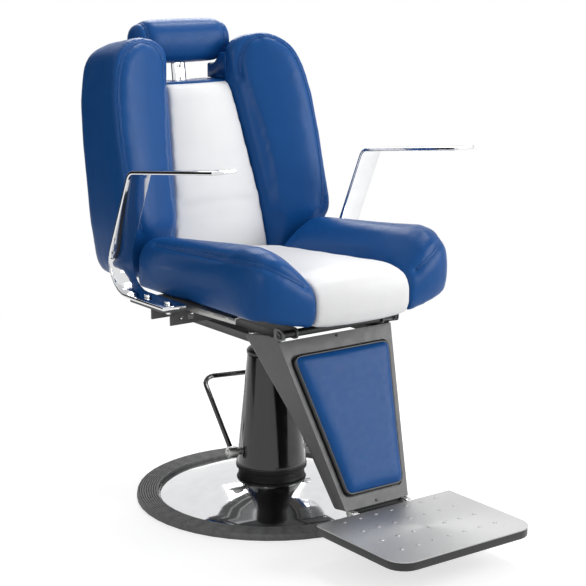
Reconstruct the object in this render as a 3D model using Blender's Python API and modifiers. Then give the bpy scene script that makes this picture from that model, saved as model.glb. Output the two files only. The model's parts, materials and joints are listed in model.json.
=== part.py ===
"""Barber chair: round pump base, swivelling seat, reclining back, linked legrest, folding footrest.

The chair faces -Y, +Z is up, and the origin is on the floor under the pump. Units are metres.
"""

import bisect
import math

import bmesh
import bpy
from mathutils import Matrix, Vector

# Fits
CLEAR = 0.0003           # gap between faces that touch
RUN = 0.0006             # running gap round a pin or rod

# Base
RING_OUTER_R = 0.320
RING_W = 0.0495
RING_H = 0.015
RING_GROOVES = 8
GROOVE_DEPTH = 0.0025
BASE_PLATE_T = 0.006
DOME_RISE = 0.048        # height of the dome's crown above its edge
DOME_SHEET = 0.002

# Pump
NECK_R = 0.078
NECK_H = 0.0714
RIM_R = 0.084            # rim that carries the cover
RIM_T = 0.008
CYLINDER_R = 0.046
COVER_H = 0.2675
COVER_FOOT_R = 0.083
COVER_TOP_R = 0.056
COVER_WALL = 0.0025
CAP_H = 0.0145
PISTON_R = 0.0225
PISTON_FOOT = 0.020      # piston foot above the pump's neck, in the bore
COLLAR_R = 0.036
COLLAR_T = 0.008
COLLAR_STAND = 0.010     # collar above the cap at the lowest seat
BEARING_T = 0.005
HUB_R = 0.042
HUB_H = 0.0418
HUB_ROOF = 0.006

# Foot lever
LEVER_YAW = math.radians(-12.8)
LEVER_RISE = math.radians(34.7)
LEVER_REACH = 0.2350     # shaft to the cross bar
LEVER_HALF = 0.1000      # half the distance between its arms
LEVER_ROD_R = 0.006
LEVER_BEND_R = 0.028
LEVER_Z = 0.113          # height of the shaft
SHAFT_R = 0.008
CLAMP_R = 0.014
CLAMP_L = 0.022

# Seat frame
COLUMN_PLATE_X = 0.124   # half sizes
COLUMN_PLATE_Y = 0.090
COLUMN_PLATE_T = 0.008
RAIL_X = 0.117           # inner face of a rail
RAIL_T = 0.005
RAIL_H = 0.0305
RAIL_RISE = 0.008        # rise of the rail's front end
PIVOT_LIFT = 0.026       # hinge axes above the foot of the rails
BACK_PIVOT_Y = 0.190
LEGREST_PIVOT_Y = -0.256
RAIL_NOSE_R = 0.0125
RAIL_TAIL_R = 0.020
CHANNEL_H = 0.040
CHANNEL_Y = (-0.062, 0.020)
CHANNEL_X = 0.313
CHANNEL_SHEET = 0.004
CHANNEL_NOTCH_X = (0.252, 0.268)   # cut in the front wall, by the arm
CHANNEL_NOTCH_RISE = 0.007
CHANNEL_HOLE_X = 0.283
CHANNEL_HOLE_RISE = 0.0145
CHANNEL_HOLE_R = 0.0035
FRONT_BAR_Y = (-0.232, -0.205)
FRONT_BAR_X = 0.125
ARM_PLATE_X = (0.205, 0.352)
ARM_PLATE_Y = (-0.098, 0.052)
ARM_PLATE_T = 0.005

# Armrests
ARM_X = 0.325            # middle of the bar
ARM_W = 0.060
ARM_T = 0.008
ARM_FRONT_Y = -0.100     # front end of the lower run
ARM_CORNER_Y = 0.168     # where the lower run and the upright would meet
ARM_CORNER_R = 0.070
ARM_TOP_Y = 0.0365       # where the upright and the top run would meet
ARM_TOP_RISE = 0.2840    # that point above the underside of the lower run
ARM_TOP_R = 0.030
ARM_TIP_Y = -0.297
ARM_TIP_RISE = 0.3215
ARM_BOLT_Y = (-0.074, 0.010)
BOLT_R = 0.005
BOLT_HEAD_R = 0.009
BOLT_HEAD_H = 0.006

# Seat
BOARD_T = 0.012
BOARD_HALF = 0.2450
BOARD_FRONT_Y = -0.315
BOARD_REAR_Y = 0.135
SEAT_OVERHANG = 0.0305    # bolster beyond the side of the board
SEAT_SEAM = 0.127        # seam between centre and bolster
SEAT_FRONT_Y = -0.350
SEAT_REAR_Y = 0.150
CENTER_REAR_Y = 0.170
SEAM_RISE = 0.068        # height of the seam above the board
BOLSTER_RISE = 0.141     # height of the bolster's crest above the board
CENTER_CROWN = 0.010
SEAT_SKIRT = 0.012       # upholstery below the top of the board, at the sides
FRONT_SKIRT = 0.036      # the same at the front, on the seam

# Back
LEAN = math.radians(14.04)
LEAN_Y = 0.129           # front of the back at LEAN_Z
LEAN_Z = 0.625
BACK_BOARD_LEAN = math.radians(7.8)
BACK_BOARD_Y = 0.391     # front of the board at BACK_BOARD_Z
BACK_BOARD_Z = 0.955
BACK_BOARD_T = 0.012
BACK_BOARD_HALF = 0.272  # half width at its widest
BACK_BOARD_FOOT_HALF = 0.225
BACK_BOARD_TOP_HALF = 0.215
BACK_BOARD_RISE = 0.470  # its top above the foot of the back
BACK_BOARD_WAIST = 0.290 # where it is widest, above its foot
NOTCH_FLARE = 0.050      # notch wider at the board's top
BACK_FOOT_Z = 0.513
NOTCH_RISE = 0.442       # foot of the notch under the headrest, above the foot of the back
FACE_X = 0.290           # half width where a wing's front meets the leaning plane
FACE_TURN = 0.31         # run back of a wing's front for each metre inwards
FACE_CROWN = 0.008
STRIP_W = 0.010          # strip between a wing's front and the panel
STRIP_DEPTH = 0.022
FOOT_SHARE = 0.35        # share of the outer edge's set back that the inner edge takes
POCKET_WALL = 0.010      # wing's inner wall in front of the headrest's pocket
PANEL_SEAM_FOOT = 0.1355 # half width of the panel at PANEL_FOOT_Z
PANEL_FOOT_Z = 0.556
PANEL_TAPER = 0.112      # loss of half width for each metre of height
PANEL_CROWN = 0.012
HINGE_PLATE_T = 0.006
HINGE_PLATE_X = 0.150
HINGE_PLATE_Y = (0.225, 0.345)
EAR_X = 0.1245
EAR_T = 0.005
PIVOT_PIN_R = 0.007
PIVOT_HEAD_R = 0.011
PIVOT_HEAD_T = 0.0012

# Headrest
BAR_W = 0.038
BAR_T = 0.005
BAR_HOLE_R = 0.004
SLEEVE_WALL = 0.003
SLEEVE_LENGTH = 0.220
BAR_INSERT = 0.170       # bar inside the sleeve at rest
ROLL_GAP = 0.047         # panel top to the roll
ROLL_FORWARD = 0.014     # middle of the roll in front of the bar
ROLL_HALF = 0.136
ROLL_HEIGHT = 0.104
ROLL_DEPTH = 0.086
BAR_IN_ROLL = 0.045

# Recline link
CRANK = 0.045
CRANK_BACK = math.radians(30)
LINK_X = 0.1315
LINK_T = 0.005
LINK_W = 0.018
LINK_PIN_R = 0.005

# Legrest
LEG_TOP = Vector((0.1566, -0.2472, 0.4427))
LEG_FOOT = Vector((0.0874, -0.3986, 0.0882))
LEG_SHEET = 0.003
LEG_TOP_DEPTH = 0.133    # depth of a side plate at its top
LEG_KNEE_DEPTH = 0.056   # and where its rear edge turns
LEG_FOOT_DEPTH = 0.041
LEG_KNEE_RISE = 0.151    # height of that turn above the foot
LEG_KNEE_R = 0.400
LEG_EAR_R = 0.016
HINGE_TUBE_R = 0.0085
WINDOW_SIDE = 0.0125
WINDOW_TOP = 0.033
WINDOW_FOOT = 0.027
WINDOW_R = 0.014
PAD_GAP = 0.0025
PAD_PROUD = 0.015
PAD_BOARD_T = 0.006
PAD_BOARD_LAP = 0.007

# Footrest
FOOT_HALF = 0.187
FOOT_REAR_Y = -0.4235
FOOT_FRONT_Y = -0.701
FOOT_TOP_Z = 0.087
FOOT_SHEET = 0.0025
FOOT_TRAY_T = 0.017
FOOT_TRAY_WALL = 0.004
FOOT_CORNER_R = 0.045
BUMP_COLUMNS = 7
BUMP_ROWS = 4
BUMP_PITCH = (0.0427, 0.0632)
BUMP_FIRST_Y = -0.4453
BUMP_R = 0.0055
BUMP_H = 0.0016
HINGE_ROD_R = 0.004
HINGE_ROD_BACK = 0.0115  # rod behind the footrest's rear edge
HINGE_ROD_DROP = 0.0075  # rod below the footrest's top
KNUCKLE_R = 0.008
LUG_X = (0.068, 0.082)
LUG_DROP = 0.016         # lug below the foot of the legrest
KNUCKLE_HALF = 0.060

# Sizes that follow from others
ring_inner_r = RING_OUTER_R - RING_W
seat_half = BOARD_HALF + SEAT_OVERHANG
notch_z = BACK_FOOT_Z + NOTCH_RISE

# Heights that stack up from the floor
plate_top = BASE_PLATE_T
neck_foot = plate_top + CLEAR
neck_top = neck_foot + NECK_H
cover_foot = neck_top + CLEAR
cover_top = cover_foot + COVER_H
cap_foot = cover_top + CLEAR
cap_top = cap_foot + CAP_H
collar_foot = cap_top + COLLAR_STAND
collar_top = collar_foot + COLLAR_T
bearing_foot = collar_top + CLEAR
bearing_top = bearing_foot + BEARING_T
hub_foot = bearing_top + CLEAR
hub_top = hub_foot + HUB_H
column_foot = hub_top + CLEAR
column_top = column_foot + COLUMN_PLATE_T
rail_foot = column_top + CLEAR
rail_top = rail_foot + RAIL_H
channel_foot = rail_top + CLEAR
channel_top = channel_foot + CHANNEL_H
arm_plate_foot = channel_top + CLEAR
arm_plate_top = arm_plate_foot + ARM_PLATE_T
board_foot = arm_plate_top + CLEAR
board_top = board_foot + BOARD_T
pad_foot = board_top + CLEAR
pivot_z = rail_foot + PIVOT_LIFT

back_pivot = Vector((0, BACK_PIVOT_Y, pivot_z))
legrest_pivot = Vector((0, LEGREST_PIVOT_Y, pivot_z))
crank = Vector((0, math.sin(CRANK_BACK), -math.cos(CRANK_BACK))) * CRANK
footrest_pivot = Vector((0, FOOT_REAR_Y + HINGE_ROD_BACK, FOOT_TOP_Z - HINGE_ROD_DROP))

for leftover in list(bpy.data.objects):
    bpy.data.objects.remove(leftover, do_unlink=True)

PARTS = bpy.data.collections.new("barber_chair")
CUTTERS = bpy.data.collections.new("cutters")
bpy.context.scene.collection.children.link(PARTS)
bpy.context.scene.collection.children.link(CUTTERS)


def material(name, colour, roughness, metallic=0.0):
    """A plain finish."""
    made = bpy.data.materials.new(name)
    made.use_nodes = True
    shader = made.node_tree.nodes["Principled BSDF"]
    shader.inputs["Base Color"].default_value = (*colour, 1.0)
    shader.inputs["Roughness"].default_value = roughness
    shader.inputs["Metallic"].default_value = metallic
    return made


BLUE_VINYL = material("blue_vinyl", (0.013, 0.080, 0.305), 0.42)
WHITE_VINYL = material("white_vinyl", (0.83, 0.83, 0.84), 0.45)
CHROME = material("chrome", (0.86, 0.87, 0.88), 0.06, 1.0)
STAINLESS = material("stainless", (0.56, 0.57, 0.58), 0.34, 1.0)
STEEL = material("steel", (0.45, 0.46, 0.47), 0.40, 1.0)
GREY_PAINT = material("grey_paint", (0.10, 0.10, 0.105), 0.48)
BLACK_PAINT = material("black_paint", (0.012, 0.012, 0.013), 0.35)
BLACK_GLOSS = material("black_gloss", (0.006, 0.006, 0.007), 0.12)
RUBBER = material("rubber", (0.055, 0.055, 0.057), 0.75)
PLYWOOD = material("plywood", (0.42, 0.30, 0.18), 0.70)


def empty(name, place, parent=None):
    """An axis that moving pieces hang on."""
    made = bpy.data.objects.new(name, None)
    made.empty_display_size = 0.05
    made.location = place
    PARTS.objects.link(made)
    bpy.context.view_layer.update()
    if parent:
        made.parent = parent
        made.matrix_parent_inverse = parent.matrix_world.inverted()
        bpy.context.view_layer.update()
    return made


BASE = empty("base_axis", (0, 0, 0))
LEVER = empty("foot_lever_axis", (0, 0, LEVER_Z), BASE)
LIFT = empty("lift_axis", (0, 0, collar_foot), BASE)
SEAT = empty("swivel_axis", (0, 0, hub_foot), LIFT)
BACK = empty("back_axis", back_pivot, SEAT)
HEAD = empty("headrest_axis", (0, BACK_BOARD_Y, BACK_BOARD_Z), BACK)
LINK = empty("link_axis", back_pivot + crank, BACK)
LEG = empty("legrest_axis", legrest_pivot, SEAT)
FOOT = empty("footrest_axis", footrest_pivot, LEG)


def place_object(name, mesh, finish, body, place=Matrix(), collection=PARTS):
    """Link a mesh as a named piece on its body."""
    made = bpy.data.objects.new(name, mesh)
    collection.objects.link(made)
    if finish:
        mesh.materials.clear()
        mesh.materials.append(finish)
    mesh.shade_smooth()
    mesh.set_sharp_from_angle(angle=math.radians(35))
    made.matrix_world = place
    if body:
        made.parent = body
        made.matrix_parent_inverse = body.matrix_world.inverted()
    return made


def frame_of(origin, across, up):
    """A placing matrix with local X along across and local Y along up."""
    across = Vector(across).normalized()
    up = Vector(up).normalized()
    out = across.cross(up)
    turn = Matrix((across, up, out)).transposed().to_4x4()
    return Matrix.Translation(origin) @ turn


def side_frame(x):
    """Local X along +Y, local Y along +Z, at one X."""
    return frame_of((x, 0, 0), (0, 1, 0), (0, 0, 1))


def circle(centre, radius, count=16):
    """Points of a circle in a plane."""
    turns = [2 * math.pi * k / count for k in range(count)]
    return [(centre[0] + radius * math.cos(a), centre[1] + radius * math.sin(a)) for a in turns]


def hole(centre, radius, count=12):
    """Points of a hole whose flats clear a radius."""
    return circle(centre, radius / math.cos(math.pi / count), count)


def filleted(corners, steps=4, closed=True):
    """Outline through (x, y, radius) corners, with arcs."""
    points = []
    count = len(corners)
    for index, (x, y, radius) in enumerate(corners):
        here = Vector((x, y))
        if radius == 0 or (not closed and index in (0, count - 1)):
            points.append((x, y))
            continue
        behind = (Vector(corners[index - 1][:2]) - here).normalized()
        ahead = (Vector(corners[(index + 1) % count][:2]) - here).normalized()
        half = behind.angle(ahead) / 2
        start = here + behind * (radius / math.tan(half))
        centre = here + (behind + ahead).normalized() * (radius / math.sin(half))
        turn = math.pi - 2 * half
        if behind.x * ahead.y - behind.y * ahead.x > 0:
            turn = -turn
        spoke = start - centre
        for step in range(steps + 1):
            angle = turn * step / steps
            points.append((centre.x + spoke.x * math.cos(angle) - spoke.y * math.sin(angle),
                           centre.y + spoke.x * math.sin(angle) + spoke.y * math.cos(angle)))
    return points


def mesh_of(curve, name):
    """The welded mesh of a curve."""
    guide = bpy.data.objects.new(name + "_guide", curve)
    CUTTERS.objects.link(guide)
    bpy.context.view_layer.update()
    seen = guide.evaluated_get(bpy.context.evaluated_depsgraph_get())
    mesh = bpy.data.meshes.new_from_object(seen)
    bpy.data.objects.remove(guide, do_unlink=True)
    bpy.data.curves.remove(curve)
    shape = bmesh.new()
    shape.from_mesh(mesh)
    bmesh.ops.remove_doubles(shape, verts=shape.verts, dist=0.00002)
    bmesh.ops.dissolve_degenerate(shape, edges=shape.edges, dist=0.00001)
    bmesh.ops.recalc_face_normals(shape, faces=shape.faces)
    shape.to_mesh(mesh)
    shape.free()
    return mesh


def flat(name, outlines, thickness, finish, body, place, rounding=0.0):
    """A flat piece: closed outlines, the later ones as holes, given a thickness."""
    curve = bpy.data.curves.new(name, "CURVE")
    curve.dimensions = "2D"
    curve.fill_mode = "BOTH"
    curve.extrude = thickness / 2 - rounding
    curve.bevel_depth = rounding
    curve.bevel_resolution = 1
    curve.offset = -rounding
    for outline in outlines:
        spline = curve.splines.new("POLY")
        spline.points.add(len(outline) - 1)
        for point, (x, y) in zip(spline.points, outline):
            point.co = (x, y, 0, 1)
        spline.use_cyclic_u = True
    return place_object(name, mesh_of(curve, name), finish, body, place)


def rod(name, points, radius, finish, body, sides=3):
    """A round bar along a list of points."""
    curve = bpy.data.curves.new(name, "CURVE")
    curve.dimensions = "3D"
    curve.bevel_depth = radius
    curve.bevel_resolution = sides
    curve.use_fill_caps = True
    spline = curve.splines.new("POLY")
    spline.points.add(len(points) - 1)
    for point, where in zip(spline.points, points):
        point.co = (*where, 1)
    return place_object(name, mesh_of(curve, name), finish, body)


def turned(name, profile, finish, body, steps=32, closed=False, place=Matrix()):
    """A turned piece: (radius, height) pairs that run down the outer side."""
    mesh = bpy.data.meshes.new(name)
    edges = [(k, k + 1) for k in range(len(profile) - 1)]
    if closed:
        edges.append((len(profile) - 1, 0))
    mesh.from_pydata([(r, 0, z) for r, z in profile], edges, [])
    made = place_object(name, mesh, finish, body, place)
    spin = made.modifiers.new("spin", "SCREW")
    spin.steps = spin.render_steps = steps
    spin.use_merge_vertices = True
    spin.merge_threshold = 0.00005
    spin.use_normal_calculate = False
    spin.use_smooth_shade = True
    return made


def add_loft(shape, rings):
    """A closed body through rings of equal count."""
    rows = [[shape.verts.new(point) for point in ring] for ring in rings]
    count = len(rows[0])
    for low, high in zip(rows, rows[1:]):
        for k in range(count):
            shape.faces.new((low[k], low[(k + 1) % count], high[(k + 1) % count], high[k]))
    shape.faces.new(list(reversed(rows[0])))
    shape.faces.new(rows[-1])


def lofted(name, bodies, finish, body, place=Matrix()):
    """One piece made of lofts, each a list of rings."""
    shape = bmesh.new()
    for rings in bodies:
        add_loft(shape, rings)
    bmesh.ops.recalc_face_normals(shape, faces=shape.faces)
    mesh = bpy.data.meshes.new(name)
    shape.to_mesh(mesh)
    shape.free()
    return place_object(name, mesh, finish, body, place)


def ring(centre, axis, along, radius, sides):
    """A ring of points round an axis, at a distance along it."""
    axis = Vector(axis).normalized()
    side = axis.orthogonal().normalized()
    other = axis.cross(side)
    middle = Vector(centre) + axis * along
    turns = [2 * math.pi * (k + 0.5) / sides for k in range(sides)]
    return [middle + side * (radius * math.cos(a)) + other * (radius * math.sin(a)) for a in turns]


def stepped(centre, axis, steps, sides):
    """Rings of a stepped round body: (distance, radius) pairs along its axis."""
    return [ring(centre, axis, along, radius, sides) for along, radius in steps]


def box(name, low, high, finish, body, place=Matrix(), collection=PARTS):
    """A plain block between two corners."""
    shape = bmesh.new()
    bmesh.ops.create_cube(shape, size=1.0)
    size = Vector(high) - Vector(low)
    middle = (Vector(high) + Vector(low)) / 2
    bmesh.ops.scale(shape, vec=size, verts=shape.verts)
    bmesh.ops.translate(shape, vec=middle, verts=shape.verts)
    mesh = bpy.data.meshes.new(name)
    shape.to_mesh(mesh)
    shape.free()
    return place_object(name, mesh, finish, body, place, collection)


def soften(piece, width, segments=1):
    """Rounded edges on a block."""
    bevel = piece.modifiers.new("edges", "BEVEL")
    bevel.width = width
    bevel.segments = segments
    bevel.limit_method = "ANGLE"
    return piece


def as_cutter(piece):
    """Hide a piece that only cuts."""
    for owner in list(piece.users_collection):
        owner.objects.unlink(piece)
    CUTTERS.objects.link(piece)
    piece.hide_render = True
    piece.display_type = "WIRE"
    return piece


def combine(piece, tool, operation="DIFFERENCE"):
    """Cut or join a piece with a hidden tool."""
    step = piece.modifiers.new(operation.lower(), "BOOLEAN")
    step.operation = operation
    step.solver = "EXACT"
    step.object = as_cutter(tool)


def drill(piece, name, centre, axis, depth, radius, sides=16):
    """A round hole, centred on a point."""
    reach = radius / math.cos(math.pi / sides)
    rings = stepped(centre, axis, ((-depth, reach), (depth, reach)), sides)
    combine(piece, lofted(name, [rings], None, None))


def mix(low, high, share):
    """A value between two others."""
    return low + (high - low) * share


# Base and pump

def make_base():
    """Foot plate, ribbed ring and domed sheet."""
    edge = ring_inner_r - CLEAR
    turned("base_plate", [(0, plate_top), (edge, plate_top), (edge, 0), (0, 0)], STEEL, BASE, 48)

    pitch = RING_W / (RING_GROOVES + 1)
    top = [(ring_inner_r, RING_H)]
    for k in range(RING_GROOVES):
        r = ring_inner_r + (k + 1) * pitch
        top += [(r - pitch * 0.2, RING_H), (r, RING_H - GROOVE_DEPTH), (r + pitch * 0.2, RING_H)]
    shoulder = RING_H * 0.6
    foot = [(RING_OUTER_R - pitch * 0.35, RING_H), (RING_OUTER_R, shoulder), (RING_OUTER_R, 0)]
    turned("base_ring", top + foot + [(ring_inner_r, 0)], RUBBER, BASE, 48, closed=True)

    edge_r = edge - 0.004
    mouth_r = NECK_R + CLEAR
    low = plate_top + CLEAR
    outer = []
    inner = []
    for k in range(7):
        share = k / 6
        r = mix(mouth_r, edge_r, share)
        z = low + DOME_SHEET + DOME_RISE * (1 - share ** 1.6) ** 1.25
        outer.append((r, z))
        inner.append((r, z - DOME_SHEET))
    outer[-1] = (edge_r, low + DOME_SHEET)
    inner[-1] = (edge_r, low)
    turned("base_dome", outer + inner[::-1], CHROME, BASE, 48, closed=True)


def make_pump():
    """Pump body, cover, cap, piston and thrust ring."""
    bore = PISTON_R + RUN
    bore_foot = neck_foot + NECK_H * 0.5
    body_top = cover_top - COVER_WALL
    rim_foot = neck_top - RIM_T
    turned("pump_cylinder", [
        (0, bore_foot), (bore, bore_foot), (bore, body_top), (CYLINDER_R, body_top),
        (CYLINDER_R, neck_top), (RIM_R, neck_top), (RIM_R, rim_foot), (NECK_R, rim_foot - 0.004),
        (NECK_R, neck_foot), (0, neck_foot)], BLACK_PAINT, BASE)

    inner_foot = COVER_FOOT_R - COVER_WALL
    inner_top = COVER_TOP_R - COVER_WALL
    mouth = CYLINDER_R + CLEAR
    cover = turned("pump_cover", [
        (mouth, cover_top), (COVER_TOP_R - 0.003, cover_top), (COVER_TOP_R, cover_top - 0.003),
        (mix(COVER_FOOT_R, COVER_TOP_R, 0.05), mix(cover_foot, cover_top, 0.04)),
        (COVER_FOOT_R, cover_foot + 0.006), (COVER_FOOT_R, cover_foot), (inner_foot, cover_foot),
        (inner_top, cover_top - COVER_WALL), (mouth, cover_top - COVER_WALL)],
        BLACK_GLOSS, BASE, closed=True)
    drill(cover, "lever_hole", (0, 0, LEVER_Z), lever_across, 0.2, SHAFT_R + RUN)

    cap_r = COVER_TOP_R + 0.0015
    turned("cover_cap", [
        (bore, cap_top), (cap_r - 0.012, cap_top), (cap_r - 0.004, cap_top - 0.003),
        (cap_r, cap_top - 0.008), (cap_r, cap_foot), (bore, cap_foot)], BLACK_PAINT, BASE, closed=True)

    piston_top = hub_top - HUB_ROOF - CLEAR
    piston_foot = neck_top + PISTON_FOOT
    turned("piston_rod", [
        (0, piston_top), (PISTON_R, piston_top), (PISTON_R, collar_top), (COLLAR_R, collar_top),
        (COLLAR_R, collar_foot), (PISTON_R, collar_foot), (PISTON_R, piston_foot), (0, piston_foot)],
        CHROME, LIFT, 24)
    turned("swivel_bearing", [
        (PISTON_R + RUN, bearing_top), (COLLAR_R, bearing_top), (COLLAR_R, bearing_foot),
        (PISTON_R + RUN, bearing_foot)], STEEL, LIFT, 24, closed=True)


lever_across = Vector((math.cos(LEVER_YAW), math.sin(LEVER_YAW), 0))
lever_back = Vector((-lever_across.y, lever_across.x, 0))
lever_arm = lever_back * math.cos(LEVER_RISE) + Vector((0, 0, math.sin(LEVER_RISE)))


def make_lever():
    """Bent foot bail with its two clamped stub shafts."""
    centre = Vector((0, 0, LEVER_Z))
    root = LEVER_HALF - CLAMP_L / 2
    tip = LEVER_HALF + CLAMP_L / 2
    for name, side in (("left", 1), ("right", -1)):
        lofted("lever_stub_" + name, [stepped(centre, lever_across * side, (
            (CYLINDER_R + CLEAR, SHAFT_R), (root, SHAFT_R), (root, CLAMP_R), (tip, CLAMP_R),
            (tip, SHAFT_R), (tip + 0.003, SHAFT_R)), 12)], STEEL, LEVER)

    foot = CLAMP_R + CLEAR
    path = filleted([(-LEVER_HALF, foot, 0), (-LEVER_HALF, LEVER_REACH, LEVER_BEND_R),
                     (LEVER_HALF, LEVER_REACH, LEVER_BEND_R), (LEVER_HALF, foot, 0)], 5, closed=False)
    rod("foot_lever", [centre + lever_across * n + lever_arm * q for n, q in path],
        LEVER_ROD_R, BLACK_PAINT, LEVER)


# Seat frame

def make_frame():
    """Hub, column plate, rails, channel and front bar."""
    bore = PISTON_R + RUN
    roof = hub_top - HUB_ROOF
    turned("swivel_hub", [
        (0, hub_top), (HUB_R, hub_top), (HUB_R, hub_foot + 0.006), (HUB_R - 0.004, hub_foot),
        (bore, hub_foot), (bore, roof), (0, roof)], GREY_PAINT, SEAT, 24)

    outline = filleted([(x * COLUMN_PLATE_X, y * COLUMN_PLATE_Y, 0.012)
                        for x, y in ((-1, -1), (1, -1), (1, 1), (-1, 1))])
    flat("column_plate", [outline], COLUMN_PLATE_T, GREY_PAINT, SEAT,
         Matrix.Translation((0, 0, column_foot + COLUMN_PLATE_T / 2)))

    nose = LEGREST_PIVOT_Y
    tail = BACK_PIVOT_Y
    rise = rail_top + RAIL_RISE
    rail = filleted([
        (nose - RAIL_NOSE_R, pivot_z - RAIL_NOSE_R, RAIL_NOSE_R * 0.9),
        (nose + 0.035, pivot_z - RAIL_NOSE_R, 0.02), (nose + 0.110, rail_foot, 0.03),
        (tail - 0.05, rail_foot, 0.03), (tail - 0.02, pivot_z - RAIL_TAIL_R, 0.01),
        (tail + RAIL_TAIL_R, pivot_z - RAIL_TAIL_R, RAIL_TAIL_R * 0.95),
        (tail + RAIL_TAIL_R, pivot_z + RAIL_TAIL_R, RAIL_TAIL_R * 0.95),
        (tail - 0.03, pivot_z + RAIL_TAIL_R, 0.02), (tail - 0.07, rail_top, 0.03),
        (nose + 0.085, rail_top, 0.02), (nose + 0.060, rise, 0.02),
        (nose - RAIL_NOSE_R, rise, RAIL_NOSE_R * 0.9)], 3)
    tube_hole = hole((nose, pivot_z), HINGE_TUBE_R + RUN, 20)
    pin_hole = hole((tail, pivot_z), PIVOT_PIN_R + CLEAR)
    for name, side in (("left", 1), ("right", -1)):
        flat("seat_rail_" + name, [rail, tube_hole, pin_hole], RAIL_T, GREY_PAINT, SEAT,
             side_frame(side * (RAIL_X + RAIL_T / 2)))
    cross_rod("back_pivot_shaft", back_pivot, PIVOT_PIN_R, EAR_X + EAR_T + RUN, PIVOT_HEAD_R, PIVOT_HEAD_T,
              STEEL, SEAT)

    near, far = CHANNEL_Y
    wall = CHANNEL_SHEET
    section = filleted([
        (near, channel_foot, 0), (near + wall, channel_foot, 0),
        (near + wall, channel_top - wall, 0.003), (far - wall, channel_top - wall, 0.003),
        (far - wall, channel_foot, 0), (far, channel_foot, 0),
        (far, channel_top, 0.006), (near, channel_top, 0.006)], 2)
    channel = flat("cross_channel", [section], 2 * CHANNEL_X, GREY_PAINT, SEAT, side_frame(0))
    for name, side in (("left", 1), ("right", -1)):
        inner, outer = sorted(side * x for x in CHANNEL_NOTCH_X)
        combine(channel, box("channel_notch_" + name, (inner, near - wall, channel_foot + CHANNEL_NOTCH_RISE),
                             (outer, near + 2 * wall, channel_top - 2 * wall), None, None))
        drill(channel, "channel_hole_" + name,
              (side * CHANNEL_HOLE_X, near + wall / 2, channel_foot + CHANNEL_HOLE_RISE),
              (0, 1, 0), wall, CHANNEL_HOLE_R, 10)

    bar_foot = rise + CLEAR
    bar = box("front_cross_bar", (-FRONT_BAR_X, FRONT_BAR_Y[0], bar_foot),
              (FRONT_BAR_X, FRONT_BAR_Y[1], arm_plate_top), GREY_PAINT, SEAT)
    soften(bar, 0.003)


def cross_rod(name, centre, radius, half, head_r, head_t, finish, body):
    """A rod along X with a head at each end."""
    steps = ((-half - head_t, head_r), (-half, head_r), (-half, radius), (half, radius), (half, head_r),
             (half + head_t, head_r))
    lofted(name, [stepped(centre, (1, 0, 0), steps, 12)], finish, body)


def make_arms():
    """Bent flat bars, the plates that carry them, and their bolts."""
    low = arm_plate_top + CLEAR
    middle = low + ARM_T / 2
    path = filleted([
        (ARM_FRONT_Y, middle, 0), (ARM_CORNER_Y, middle, ARM_CORNER_R),
        (ARM_TOP_Y, low + ARM_TOP_RISE, ARM_TOP_R), (ARM_TIP_Y, low + ARM_TIP_RISE, 0)], 8, closed=False)
    sides = ([], [])
    for index, point in enumerate(path):
        before = Vector(path[max(index - 1, 0)])
        after = Vector(path[min(index + 1, len(path) - 1)])
        along = (after - before).normalized()
        across = Vector((-along.y, along.x)) * (ARM_T / 2)
        sides[0].append(tuple(Vector(point) - across))
        sides[1].append(tuple(Vector(point) + across))
    outline = sides[0] + sides[1][::-1]

    grip = ARM_T + ARM_PLATE_T + 3 * CLEAR
    for name, side in (("left", 1), ("right", -1)):
        arm = flat("armrest_" + name, [outline], ARM_W, CHROME, SEAT, side_frame(side * ARM_X), 0.002)
        spots = [(side * ARM_X, y) for y in ARM_BOLT_Y]
        for place, (x, y) in zip(("front", "rear"), spots):
            label = name + "_" + place
            drill(arm, "arm_hole_" + label, (x, y, middle), (0, 0, 1), ARM_T, BOLT_R + CLEAR, 8)
            lofted("arm_bolt_" + label, [stepped((x, y, low + ARM_T + CLEAR), (0, 0, 1), (
                (-grip - BOLT_HEAD_H - 0.003, BOLT_R), (-grip - BOLT_HEAD_H, BOLT_R),
                (-grip - BOLT_HEAD_H, BOLT_HEAD_R), (-grip, BOLT_HEAD_R), (-grip, BOLT_R), (0, BOLT_R),
                (0, BOLT_HEAD_R), (BOLT_HEAD_H, BOLT_HEAD_R)), 6)], CHROME, SEAT)
        inner, outer = (side * x for x in ARM_PLATE_X)
        plate = filleted([(inner, ARM_PLATE_Y[0], 0.008), (outer, ARM_PLATE_Y[0], 0.012),
                          (outer, ARM_PLATE_Y[1], 0.012), (inner, ARM_PLATE_Y[1], 0.008)], 3)
        flat("arm_plate_" + name, [plate] + [hole(spot, BOLT_R + CLEAR, 8) for spot in spots],
             ARM_PLATE_T, GREY_PAINT, SEAT, Matrix.Translation((0, 0, arm_plate_foot + ARM_PLATE_T / 2)))


# Seat cushions

def seat_ring(x, crest, front, skirt, rear, over_board, fall):
    """Side outline of the seat at one X, from the rear underside forward and round."""
    under = pad_foot if over_board else skirt
    toe = front + 0.012
    knee = BOARD_FRONT_Y - CLEAR if over_board else mix(toe, rear, 0.06)
    height = crest - skirt
    points = [(rear - 0.006, under), (knee if over_board else mix(toe, rear, 0.12), under), (knee, skirt),
              (toe, skirt)]
    for back, share in ((0.007, 0.07), (0.0, 0.25), (-0.001, 0.50), (0.004, 0.70),
                        (0.018, 0.86), (0.045, 0.955), (0.085, 1.0)):
        points.append((front + back, skirt + height * share))
    start = front + 0.085
    for share in (0.35, 0.7, 0.92):
        points.append((mix(start, rear, share), crest - fall * share))
    rear_top = crest - fall
    points.append((rear - 0.004, mix(rear_top, under, 0.14)))
    points.append((rear, mix(rear_top, under, 0.45)))
    return [Vector((x, y, z)) for y, z in points]


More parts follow.
